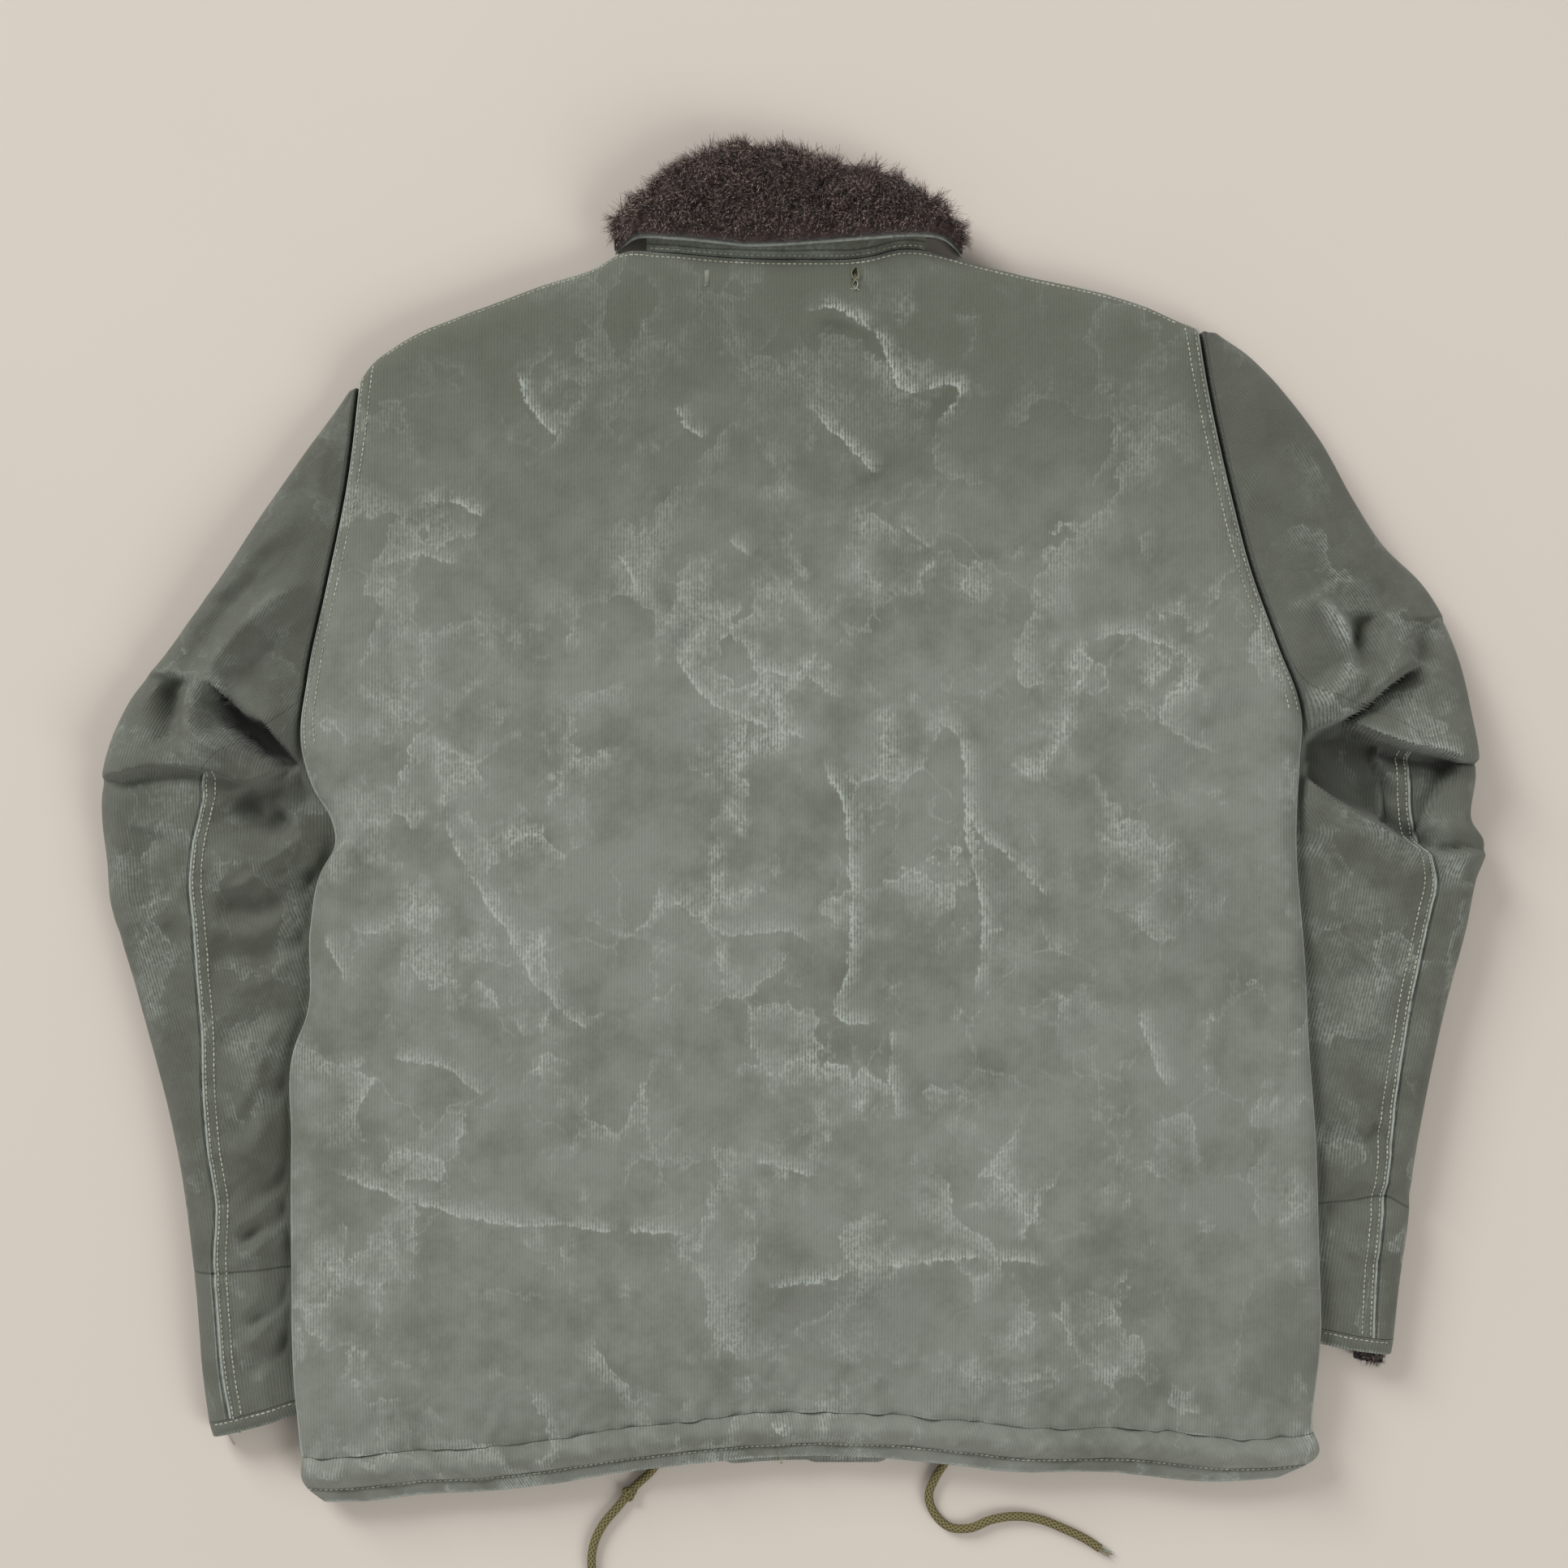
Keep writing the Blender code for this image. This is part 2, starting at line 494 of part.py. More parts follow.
def make_front_band(name, left, material):
    """Plain hem band of one front; its edge shows below the back's near the middle."""
    below = np.array([1.0, 6.0, 12.0, 18.0, 22.0, 26.0]) + SEAM_GAP
    left_x, right_x = body_edges(0.0, BAND_WIDTH - below)
    x = front_columns(left_x + FREE_INSET if left else right_x - FREE_INSET, left)
    across = (x - left_x[:, None]) / (right_x - left_x)[:, None]
    below = below[:, None]
    y = body_lengthwise(across, 0.0, BAND_WIDTH)[0] - below
    share = (below - below.min()) / (below.max() - below.min())
    shown = smoothstep((across - PEEK[0]) / 0.03) * smoothstep((PEEK[1] - across) / 0.03)
    rise = share * (3.0 - 7.5 * shown)
    y = y + rise
    upper = hem_under(below - rise) - SEAM_GAP - 1.5 * smoothstep((below - 20.0) / 6.0)
    under = np.minimum(front_floor(x) + 3.0 * smoothstep((share - 0.8) / 0.2), upper - 1.6)
    return closed_wall(name, np.stack([x, y, upper], -1), np.stack([x, y, under], -1), material)


def make_strip(name, half_width, low, thickness, ends, material):
    """Flat strip down the centre front, its lower end rounded."""
    bottom, top = ends
    across = np.linspace(-1.0, 1.0, 3)
    up = np.array([0.0, 0.004, 0.014, 1.0])
    across, up = np.meshgrid(across, up)
    corner = quarter_round(up * (top - bottom), FLY_CORNER)
    x = CENTRE_FRONT + across * half_width * (FLY_END_WIDTH + (1.0 - FLY_END_WIDTH) * corner)
    y = bottom + up * (top - bottom)
    upper = np.full_like(x, low + thickness)
    under = np.full_like(x, low)
    return closed_wall(name, np.stack([x, y, upper], -1), np.stack([x, y, under], -1), material)


def outermost(edge, y, side):
    """Furthest reach of the body's edge near a place up the jacket."""
    reach = [side * through(column(edge, 0), column(edge, 1), y + shift) for shift in NEAR_EDGE]
    return side * np.max(reach, axis=0)


class Sleeve:
    """Sections of one sleeve: two flattened layers joined round its outer edge."""

    def __init__(self, table, edge, folds, side):
        rows = np.array(SLEEVE_ROWS, float)
        index = np.arange(len(table))
        inner_y, outer_x, outer_y, height, seam_x = (
            through(index, column(table, place), rows) for place in range(5))
        inner_x = outermost(edge, inner_y, side) - side * TUCK
        self.inner = np.stack([inner_x, inner_y], axis=-1)
        reach = np.stack([outer_x, outer_y], axis=-1) - self.inner
        self.width = np.linalg.norm(reach, axis=1)
        self.along = reach / self.width[:, None]
        self.height = height
        self.round = np.minimum(SLEEVE_EDGE_ROUND, 0.35 * self.width)
        probe = np.linspace(0.0, 40.0, 161)
        plan = self.place(np.broadcast_to(probe, (len(rows), len(probe))))
        beyond = side * (plan[..., 0] - outermost(edge, plan[..., 1], side))
        self.start = np.minimum(probe[(beyond > LIP_CLEARANCE).argmax(1)], 0.5 * self.width)
        seam = (seam_x - inner_x) / reach[:, 0] * self.width
        self.seam = np.maximum(seam, self.start + HIDDEN_SEAM)
        self.folds = folds

    def place(self, distance):
        """Plan of the points at a distance out from the inner edge, a row for each section."""
        return self.inner[:, None, :] + distance[..., None] * self.along[:, None, :]

    def top(self, distance):
        """Height of the upper layer's outer face."""
        plan = self.place(distance)
        low = PLANE - SEAM_GAP
        start = self.start[:, None]
        rise = smoothstep((distance - start) / np.minimum(
            SLEEVE_RISE_WIDTH, 0.6 * (self.width[:, None] - start)))
        height = low + (self.height[:, None] - low) * rise
        clear = smoothstep((distance - start) / FOLD_CLEARANCE)
        height += fold_lift(plan[..., 0], plan[..., 1], self.folds) * clear
        return np.maximum(height, np.minimum(SLEEVE_LEAST_HEIGHT, low))

    def between(self, distance):
        """Height where the two layers meet."""
        return np.minimum(SLEEVE_LAYER, 0.5 * self.top(distance))

    def points(self, distance, height):
        plan = self.place(distance)
        return np.concatenate((plan, height[..., None]), axis=-1)

    def inner_columns(self):
        """Distances from the inner edge to the elbow seam."""
        share = np.linspace(0.0, 1.0, UNDER_COLUMNS - 1)
        start = self.start[:, None]
        beyond = start + (self.seam[:, None] - start) * share
        return np.concatenate((0.0 * start, beyond), axis=1)

    def outer_columns(self):
        """Distances from the elbow seam to where the outer edge starts to round."""
        share = np.linspace(0.0, 1.0, TOP_COLUMNS)
        end = (self.width - self.round)[:, None]
        return self.seam[:, None] + (end - self.seam[:, None]) * share

    def make_under(self, name, material):
        """Under sleeve: the flat layer between the inner edge and the elbow seam."""
        distance = self.inner_columns()
        top = self.top(distance)
        low = self.between(distance) + SEAM_GAP
        shown = distance.copy()
        shown[:, -1] -= SEAM_GAP / 2.0
        return closed_wall(name, self.points(shown, top), self.points(shown, low), material)

    def make_top(self, name, material):
        """Top sleeve: from the elbow seam round the outer edge and back along the floor."""
        upper = self.outer_columns()
        upper_shown = upper.copy()
        upper_shown[:, 0] += SEAM_GAP / 2.0
        end = upper[:, -1:]
        crest = self.top(end)
        middle = self.between(end)
        angle = np.linspace(0.5, -0.5, EDGE_COLUMNS + 2)[None, 1:-1] * np.pi
        edge_out = end + self.round[:, None] * np.cos(angle)
        edge_out_height = 0.5 * crest + 0.5 * crest * np.sin(angle)
        edge_in = end + EDGE_SLIT * np.cos(angle)
        edge_in_height = middle + SEAM_GAP * np.sin(angle)
        lower = np.concatenate((self.inner_columns(), upper[:, 1:]), axis=1)[:, ::-1]
        outer = np.concatenate((self.points(upper_shown, self.top(upper)),
                                self.points(edge_out, edge_out_height),
                                self.points(lower, 0.0 * lower)), axis=1)
        inner = np.concatenate((self.points(upper_shown, self.between(upper) + SEAM_GAP),
                                self.points(edge_in, edge_in_height),
                                self.points(lower, self.between(lower) - SEAM_GAP)), axis=1)
        return closed_wall(name, outer, inner, material, turned=TOP_COLUMNS + EDGE_COLUMNS)

    def make_cuff(self, name, material):
        """Turned hem at the sleeve's end, a flattened ring."""
        end = self.inner[-1]
        along = self.along[-1]
        down = np.array([along[1], -along[0]])
        down = down if down[1] < 0.0 else -down
        width = self.width[-1]
        steps = np.array([SEAM_GAP, 4.0, 7.5, CUFF_LENGTH])
        edge = self.round[-1]
        flat = np.concatenate(([0.0, TUCK + 1.0], np.linspace(TUCK + 7.0, width - edge, 6)))
        low = PLANE - SEAM_GAP
        height = low + (self.height[-1] - low) * smoothstep((flat - TUCK - 1.0) / SLEEVE_RISE_WIDTH)
        angle = np.linspace(0.5, -0.5, EDGE_COLUMNS + 2)[1:-1] * np.pi
        crest = height[-1]
        across = np.concatenate((flat, width - edge + edge * np.cos(angle), flat[::-1]))
        tall = np.concatenate((height, 0.5 * crest * (1.0 + np.sin(angle)), 0.0 * flat))
        middle = np.concatenate((0.5 * height, np.full(EDGE_COLUMNS, 0.5 * crest), 0.5 * height[::-1]))
        gap = np.concatenate((np.full(len(flat), 1.0), np.sin(angle), np.full(len(flat), -1.0)))
        slit = np.clip(across, 0.5 * TUCK, width - edge + EDGE_SLIT)
        outer = []
        inner = []
        for step in steps:
            squeeze = 1.0 - CUFF_SQUEEZE * (step / CUFF_LENGTH) ** 3
            base = end + down * step
            outer.append(np.column_stack((base + across[:, None] * along, tall * squeeze)))
            inner.append(np.column_stack((base + slit[:, None] * along, middle * squeeze + CUFF_SLIT * gap)))
        return closed_wall(name, np.array(outer), np.array(inner), material, ring=True)


def collar_columns():
    """Collar stations across, with the leaf's free edge and the roll's top at each."""
    index = np.arange(len(COLLAR))
    at = np.linspace(0.0, len(COLLAR) - 1.0, COLLAR_STATIONS)
    return (through(index, column(COLLAR, place), at) for place in range(3))


def end_droop(x):
    """How the collar's ends come down towards the floor."""
    past = np.abs(x - COLLAR_MIDDLE) - COLLAR_FLAT_HALF
    return 1.0 - COLLAR_DROOP * smoothstep(past / COLLAR_DROOP_SPAN)


def make_collar_leaf(material):
    """Pile side of the collar: the turned leaf, the roll and the layer under the stand."""
    x, edge_y, roll_y = (value[:, None] for value in collar_columns())
    share = np.linspace(0.0, 1.0, COLLAR_LEG_COLUMNS)[None, :]
    turn = np.minimum(COLLAR_ROUND, ROLL_SHARE * (roll_y - edge_y))
    leg_end = roll_y - turn
    leg = edge_y + (leg_end - edge_y) * share
    angle = np.linspace(0.5, -0.5, 8)[None, 1:-1] * np.pi
    droop = end_droop(x)
    top = LEAF_TOP * droop
    crown = top - CROWN_FALL * (1.0 - quarter_round(leg - edge_y, CROWN_ROUND))
    round_y = leg_end + turn * np.cos(angle)
    round_z = 0.5 * top * (1.0 + np.sin(angle))
    low_leg = leg_end + (edge_y + LEG_GAP - leg_end) * share
    leg_in = (LEAF_TOP - LEAF_PILE) * droop + 0.0 * leg
    floor_in = FLOOR_LEG_SHARE * STAND_BOTTOM * droop + 0.0 * leg
    middle = 0.5 * (leg_in[:, :1] + floor_in[:, :1])
    half = 0.5 * (leg_in[:, :1] - floor_in[:, :1])
    in_y = leg_end + ROLL_SLIT * np.cos(angle)
    in_z = middle + half * np.sin(angle)

    def grid(y, z):
        return np.stack([x + 0.0 * y, y, z + 0.0 * y], axis=-1)

    outer = np.concatenate((grid(leg, crown), grid(round_y, round_z), grid(low_leg, 0.0)), axis=1)
    inner = np.concatenate((grid(leg, leg_in), grid(in_y, in_z), grid(low_leg, floor_in)), axis=1)
    return closed_wall("collar_leaf", outer, inner, material)


def make_collar_cloth(material):
    """Cloth side of the turned leaf, its edge just below the pile."""
    x, edge_y, roll_y = (value[:, None] for value in collar_columns())
    share = np.linspace(0.0, 1.0, 5)[None, :]
    turn = np.minimum(COLLAR_ROUND, ROLL_SHARE * (roll_y - edge_y))
    y = edge_y - CLOTH_EDGE_DROP + (roll_y - turn - edge_y + CLOTH_SHORTER) * share
    top = (LEAF_TOP - LEAF_PILE) * end_droop(x) - SEAM_GAP + 0.0 * y
    grid = np.stack([x + 0.0 * y, y, top], axis=-1)
    under = grid - np.array([0.0, 0.0, LEAF_CLOTH])
    return closed_wall("collar_cloth", grid, under, material)


def make_collar_stand(material):
    """Collar stand: from the neck seam up under the turned leaf."""
    x = np.linspace(*STAND_ENDS, 18)[:, None]
    shoulder_left = LEFT_EDGE[-1][1]
    shoulder_right = RIGHT_EDGE[-1][1]
    across = (x - shoulder_left) / (shoulder_right - shoulder_left)
    neck = through(column(TOP_EDGE, 0), column(TOP_EDGE, 1), across) + NECK_GAP
    roll = through(column(COLLAR, 0), column(COLLAR, 2), x) - STAND_BEHIND_ROLL
    share = np.array([0.0, 0.06, 0.2, 0.45, 0.75, 1.0])[None, :]
    y = neck + (np.maximum(roll, neck + STAND_LEAST) - neck) * share
    droop = end_droop(x)
    top = STAND_TOP * droop + 0.0 * y
    under = STAND_BOTTOM * droop + 0.0 * y
    full_x = x + 0.0 * y
    return closed_wall("collar_stand", np.stack([full_x, y, top], -1),
                       np.stack([full_x, y, under], -1), material)


def make_cuff_pile(sleeve, material):
    """Pile lining that shows below the right cuff."""
    end = sleeve.inner[-1]
    along = sleeve.along[-1]
    across = np.linspace(30.0, 46.0, 7)
    rows = []
    for step, height in ((CUFF_LENGTH + SEAM_GAP, 16.0), (CUFF_LENGTH + 4.0, 14.0),
                         (CUFF_LENGTH + 7.0, 9.0)):
        base = end + np.array([0.0, -step])
        rows.append(np.column_stack((base + across[:, None] * along, np.full(7, height))))
    top = np.array(rows)
    top[1:, :, 2] *= 1.0 - 0.3 * ((across - 38.0) / 8.0) ** 2
    under = top.copy()
    under[..., 2] = np.array([4.0, 3.0, 2.0])[:, None]
    return closed_wall("cuff_pile_right", top, under, material)


def make_cord(name, route, material):
    """Free end of the drawstring, lying on the floor."""
    points = smooth_route(route, CORD_POINT_SPACING)
    curve = bpy.data.curves.new(name, "CURVE")
    curve.dimensions = "3D"
    curve.bevel_depth = CORD_DIAMETER / 2.0 * MM
    curve.bevel_resolution = 2
    curve.use_fill_caps = True
    spline = curve.splines.new("POLY")
    spline.points.add(len(points) - 1)
    for target, (x, y, z) in zip(spline.points, points):
        target.co = ((x + CENTRE_SHIFT[0]) * MM, (y + CENTRE_SHIFT[1]) * MM, z * MM, 1.0)
    curve.materials.append(material)
    cord = bpy.data.objects.new(name, curve)
    bpy.context.scene.collection.objects.link(cord)
    return cord


def main():
    for item in list(bpy.context.scene.objects):
        bpy.data.objects.remove(item, do_unlink=True)
    cloth = material_of("cotton_cord_cloth", CLOTH_COLOUR, 0.88)
    sleeve_cloth = material_of("cotton_cord_cloth_sleeves", SLEEVE_COLOUR, 0.88)
    pile = material_of("brown_pile", PILE_COLOUR, 0.95)
    braid = material_of("braided_cord", CORD_COLOUR, 0.8)

    make_back(cloth)
    make_hem_band(cloth)
    make_front("front_left", True, cloth)
    make_front("front_right", False, cloth)
    make_front_band("hem_band_front_left", True, cloth)
    make_front_band("hem_band_front_right", False, cloth)
    make_strip("front_fly", FLY_WIDTH / 2.0, 0.0, FLY_THICKNESS, FLY_ENDS, cloth)
    make_strip("front_zip", ZIP_WIDTH / 2.0, FLY_THICKNESS + SEAM_GAP, ZIP_THICKNESS, ZIP_ENDS, cloth)
    left = Sleeve(LEFT_SLEEVE, LEFT_EDGE, LEFT_FOLDS, -1.0)
    right = Sleeve(RIGHT_SLEEVE, RIGHT_EDGE, RIGHT_FOLDS, 1.0)
    for sleeve, side in ((left, "left"), (right, "right")):
        sleeve.make_top("sleeve_top_" + side, sleeve_cloth)
        sleeve.make_under("sleeve_under_" + side, sleeve_cloth)
        sleeve.make_cuff("cuff_" + side, sleeve_cloth)
    make_cuff_pile(right, pile)
    make_collar_leaf(pile)
    make_collar_cloth(cloth)
    make_collar_stand(cloth)
    make_cord("cord_left", LEFT_CORD_ROUTE, braid)
    make_cord("cord_right", RIGHT_CORD_ROUTE, braid)


main()
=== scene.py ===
"""Deck jacket laid face down: cord cloth, pile lining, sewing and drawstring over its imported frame."""
import json

import bmesh
import bpy
import numpy as np
from bpy.props import FloatProperty, FloatVectorProperty, IntProperty, PointerProperty
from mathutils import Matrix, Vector
from mathutils.bvhtree import BVHTree
from mathutils.geometry import delaunay_2d_cdt

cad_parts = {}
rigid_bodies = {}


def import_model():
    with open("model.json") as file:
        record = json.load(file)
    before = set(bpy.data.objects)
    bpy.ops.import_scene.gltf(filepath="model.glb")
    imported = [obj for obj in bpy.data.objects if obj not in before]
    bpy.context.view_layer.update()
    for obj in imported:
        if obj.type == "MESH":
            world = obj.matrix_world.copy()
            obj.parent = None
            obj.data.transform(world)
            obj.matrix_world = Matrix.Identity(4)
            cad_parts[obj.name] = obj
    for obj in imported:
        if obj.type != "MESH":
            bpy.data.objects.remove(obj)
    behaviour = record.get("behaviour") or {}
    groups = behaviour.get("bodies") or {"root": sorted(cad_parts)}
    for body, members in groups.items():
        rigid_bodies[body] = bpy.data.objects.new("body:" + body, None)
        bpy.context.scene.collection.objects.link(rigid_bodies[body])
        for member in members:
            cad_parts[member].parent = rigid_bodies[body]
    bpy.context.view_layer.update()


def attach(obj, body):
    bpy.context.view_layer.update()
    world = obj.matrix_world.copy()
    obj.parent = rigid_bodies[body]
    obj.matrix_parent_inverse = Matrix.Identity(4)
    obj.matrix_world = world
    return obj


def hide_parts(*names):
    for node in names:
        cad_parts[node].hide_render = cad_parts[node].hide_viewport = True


bl_info = {
    "name": "Deck Jacket",
    "version": (1, 0, 0),
    "blender": (4, 5, 0),
    "location": "3D View > Sidebar > Jacket",
    "description": "Dresses the frame of a deck jacket in cloth, pile, stitches and cord",
    "category": "Object",
}

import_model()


def routes(table, columns):
    """Rows of a table of numbers: its first columns, and then the points of a route."""
    rows = [[float(number) for number in line.split(":")[-1].split()] for line in table.strip().splitlines()]
    return [(*row[:columns], np.reshape(row[columns:], (-1, 2))) for row in rows]


MM = 0.001

# Driving sizes of the jacket as it lies.
SEAM_GAP = 0.3
NECK_GAP = 0.9
PLANE = 15.0
BODY_HEIGHT = 29.0
HEM_HEIGHT = 24.0
SIDE_ROUND = 18.0
SIDE_LIP = 17.5
ARMHOLE_LIP = 21.0
NECK_LIP = 22.0
TUCK = 8.0
SIDE_INSET = 15.0
ARMHOLE_INSET = 13.0
FREE_INSET = 2.0
PEEK = (0.40, 0.585)
BAND_WIDTH = 27.0
FRONT_BAND_WIDTH = 24.0
HEM_DROP = 5.0
CENTRE_FRONT = 31.0
FLY_WIDTH = 52.0
FLY_THICKNESS = 2.6
ZIP_WIDTH = 26.0
ZIP_THICKNESS = 1.6
SLEEVE_EDGE_ROUND = 13.0
SLEEVE_RISE_WIDTH = 18.0
SLEEVE_LEAST_HEIGHT = 10.0
SLEEVE_LAYER = 14.0
HIDDEN_SEAM = 2.0
LIP_CLEARANCE = 0.9
NEAR_EDGE = (-12.0, -6.0, 0.0, 6.0, 12.0)
CUFF_LENGTH = 9.0
LEAF_TOP = 36.0
LEAF_PILE = 13.0
LEAF_CLOTH = 1.6
COLLAR_ROUND = 15.0
STAND_TOP = 20.4
STAND_BOTTOM = 12.0
CORD_DIAMETER = 5.0
LOWER_SEAM = 19.5
FOLD_BLEND = 1.6
FOLD_TAPER = 0.14
HEM_WIDTH = 575.0
CENTRE_SHIFT = (-0.46, -0.29)

# Left and right edges of the back: height up the jacket, then the edge's place across.
LEFT_EDGE = (
    (-388, -270), (-382, -278), (-359, -282), (-325, -286), (-249, -288), (-180, -288),
    (-126, -286), (-111, -280), (-57, -277), (-26, -271), (-11, -263), (4, -265),
    (21, -275), (39, -281), (86, -278), (138, -267), (198, -255), (255, -248))
RIGHT_EDGE = (
    (-374, 280), (-366, 297), (-343, 298), (-290, 303), (-243, 302), (-176, 300),
    (-122, 296), (-78, 294), (-3, 289), (40, 291), (64, 292), (107, 277),
    (149, 262), (187, 252), (217, 245), (256, 237), (287, 232))

# Hem and top edges: share of the way across, then the place up the jacket.
HEM_EDGE = (
    (0.0, -388), (0.05, -387), (0.11, -383), (0.17, -381.5), (0.23, -378), (0.31, -371),
    (0.40, -365), (0.47, -361.8), (0.57, -362), (0.65, -366), (0.71, -370), (0.82, -370.5),
    (0.93, -376), (1.0, -374))
TOP_EDGE = (
    (0.0, 256), (0.012, 264.5), (0.04, 275.5), (0.07, 284), (0.11, 292), (0.155, 300),
    (0.225, 312.5), (0.28, 321),
    (0.31, 329), (0.36, 329), (0.44, 326), (0.53, 325), (0.60, 326), (0.65, 331),
    (0.69, 329), (0.73, 324), (0.79, 317), (0.91, 303.5), (0.94, 298.5), (0.97, 292), (1.0, 286))

# Sleeve sections from shoulder to cuff: place up the body's edge, then the outer edge,
# the height of the puffed cloth and where the elbow seam crosses.
LEFT_SLEEVE = (
    (254, -256, 250, 17, -245), (225, -281, 215, 23, -250), (195, -305, 180, 26, -255),
    (165, -326, 147, 27, -261), (135, -344, 122, 28, -267), (105, -361, 99, 28, -272),
    (80, -378, 78, 28, -277), (60, -390, 54, 29, -300), (42, -396, 28, 30, -334),
    (25, -397, 6, 28, -337), (5, -395, -18, 26, -343), (-15, -393, -42, 26, -345),
    (-40, -387, -62, 26, -343), (-70, -379, -88, 26, -341), (-105, -369, -124, 26, -338),
    (-140, -360, -158, 26, -337), (-175, -353, -190, 26, -334), (-210, -349, -218, 25, -330),
    (-245, -345, -250, 25, -331), (-280, -342, -283, 24, -329), (-305, -340, -312, 23, -327),
    (-327, -336.5, -342, 21, -323))
RIGHT_SLEEVE = (
    (284, 245, 284, 18, 232), (262, 264, 270, 23, 236), (235, 284, 248, 26, 241),
    (208, 304, 221, 27, 248), (180, 321, 190, 28, 254), (152, 339, 162, 28, 262),
    (125, 362, 139, 28, 270), (100, 377, 113, 29, 282), (78, 386, 83, 29, 300),
    (58, 391, 55, 30, 352), (38, 393, 32, 27, 354), (18, 390, 6, 26, 355),
    (0, 398, -10, 28, 359), (-20, 392, -32, 28, 367), (-50, 387, -58, 27, 362),
    (-85, 378, -92, 26, 355), (-120, 370, -126, 26, 349), (-155, 363, -160, 26, 344),
    (-190, 357, -195, 25, 341), (-225, 354, -228, 25, 337), (-260, 349.5, -260, 24, 334),
    (-287, 346, -294, 22, 333))

# Folds: name, lift on the left of the route, lift on its right, how far each side reaches,
# and the route itself.
LEFT_FOLDS = routes("""
upper arm over forearm: 6 -3.5 34 16 -398 22 -378 32 -343 34 -324 29 -312 25 -298 30 -284 36
flap from the armhole: 5 -17 34 19 -333 85 -329 79 -322 70 -313 63 -304 60 -295 46 -283 33
hooked roll: 10 10 17 17 -271 139 -294 128 -315 109 -330 88 -341 65 -341 53 -326 44 -306 35
hollow beside the roll: -8 -8 16 16 -350 88 -356 61 -354 46
hollow behind the roll: -5 -5 17 17 -301 114 -315 97 -326 83
upper arm pull: 4 4 15 15 -276 190 -301 160 -330 138 -346 110
forearm hollow: -8 -8 18 18 -323 17 -301 -2 -288 10
forearm roll: 6 6 20 20 -334 -31 -312 -19 -289 -1 -276 8
forearm crease: -7 -7 14 14 -331 -44 -304 -44 -282 -29 -272 -22
lower crease: -6 -6 13 13 -336 -70 -305 -73 -279 -57
outer hollow: -5 -5 20 20 -366 0 -372 -24 -364 -46
wrist roll: 4 4 16 16 -318 -190 -300 -168 -288 -150
wrist crease: -4 -4 14 14 -330 -120 -306 -112 -288 -96
""", 4)
RIGHT_FOLDS = routes("""
long crease: 10 -5 30 18 293 54 316 63 338 80 359 95
outer flap: 9 -7 28 22 312 62 331 53 347 47 369 43 387 35
recess at the elbow: -13 -13 27 27 306 44 320 27 336 38
forearm edge: -9 9 18 36 291 34 302 23 323 9 338 -1 353 -10 368 -16
small roll: 9 9 12 12 291 135 307 119 317 100 315 86 308 79 293 61
hollow beside the small roll: -8 -8 13 13 326 124 324 103 318 88
outer hollow: -6 -6 16 16 362 120 360 101 356 94
outer bump: -6 4 15 14 352 -7 370 -14 385 -13 398 -10
shoulder pull: 4 4 18 18 262 205 290 180 318 150 332 128
forearm roll: 4 4 18 18 318 -60 330 -92 326 -128
wrist crease: -5 -5 14 14 304 -170 322 -182 340 -172
cuff crease: -5 -5 10 10 304 -222 322 -214 350 -210
""", 4)
BACK_FOLDS = routes("""
yoke pull: 3 3 20 20 4 295 34 286 46 279 62 251 94 251
shoulder blade: 3 3 22 22 4 242 28 222 50 200
left blade: 3 3 24 24 -106 149 -82 128 -60 108
left rib: 3 3 24 24 -87 98 -36 60 -8 56
spine: 3 3 24 24 15 42 34 -37 25 -109 52 -109
right rib: 3 3 22 22 90 70 104 14 104 -74
left waist: 3 3 24 24 -204 -20 -189 -33 -152 -79 -120 -100
waist fold: 2.5 2.5 20 20 -134 -223 -90 -227 -45 -228
low fold: 3 3 18 18 -22 -263 40 -256 99 -246
left armpit hollow: -4 -4 22 22 -262 30 -240 4 -234 -40
right armpit hollow: -4 -4 24 24 270 70 240 50 214 12
right waist hollow: -3 -3 30 30 60 -160 120 -150 180 -110
left side hollow: -3 -3 26 26 -240 120 -214 60 -206 10
""", 4)

# Gathers along the drawn hem: share of the way across, height, half width and slant.
HEM_GATHERS = (
    (0.035, 2.2, 7, 8), (0.085, 1.6, 6, -5), (0.13, 2.4, 5, 9), (0.165, 2.0, 5, 9),
    (0.20, 2.6, 6, 8), (0.245, 1.8, 5, -6), (0.285, 2.2, 6, 9), (0.33, 1.8, 5, 7),
    (0.37, 2.4, 7, -8), (0.42, 1.6, 6, 6), (0.47, 2.0, 7, 8), (0.52, 1.5, 6, -6),
    (0.565, 2.0, 6, -8), (0.61, 1.7, 6, 7), (0.65, 2.5, 5, -9), (0.69, 2.1, 5, -8),
    (0.73, 2.6, 6, -9), (0.775, 1.9, 5, 6), (0.82, 2.3, 6, -9), (0.865, 1.8, 5, -7),
    (0.91, 2.2, 6, -8), (0.96, 2.0, 7, -6))

# Collar: place across, the free edge of the turned leaf, and the top of the roll.
COLLAR = (
    (-102, 331, 350), (-97, 335, 353), (-89, 339.5, 357), (-72, 338.5, 372), (-58, 337.5, 380.5),
    (-39, 335.5, 386.5), (-27, 334.3, 389), (-8, 334.7, 386.5), (13, 336, 382), (34, 337.6, 378),
    (57, 339.4, 371), (71, 340, 362), (85, 339, 354), (93, 334, 345), (97, 329, 336))
STAND_ENDS = (-84, 76)

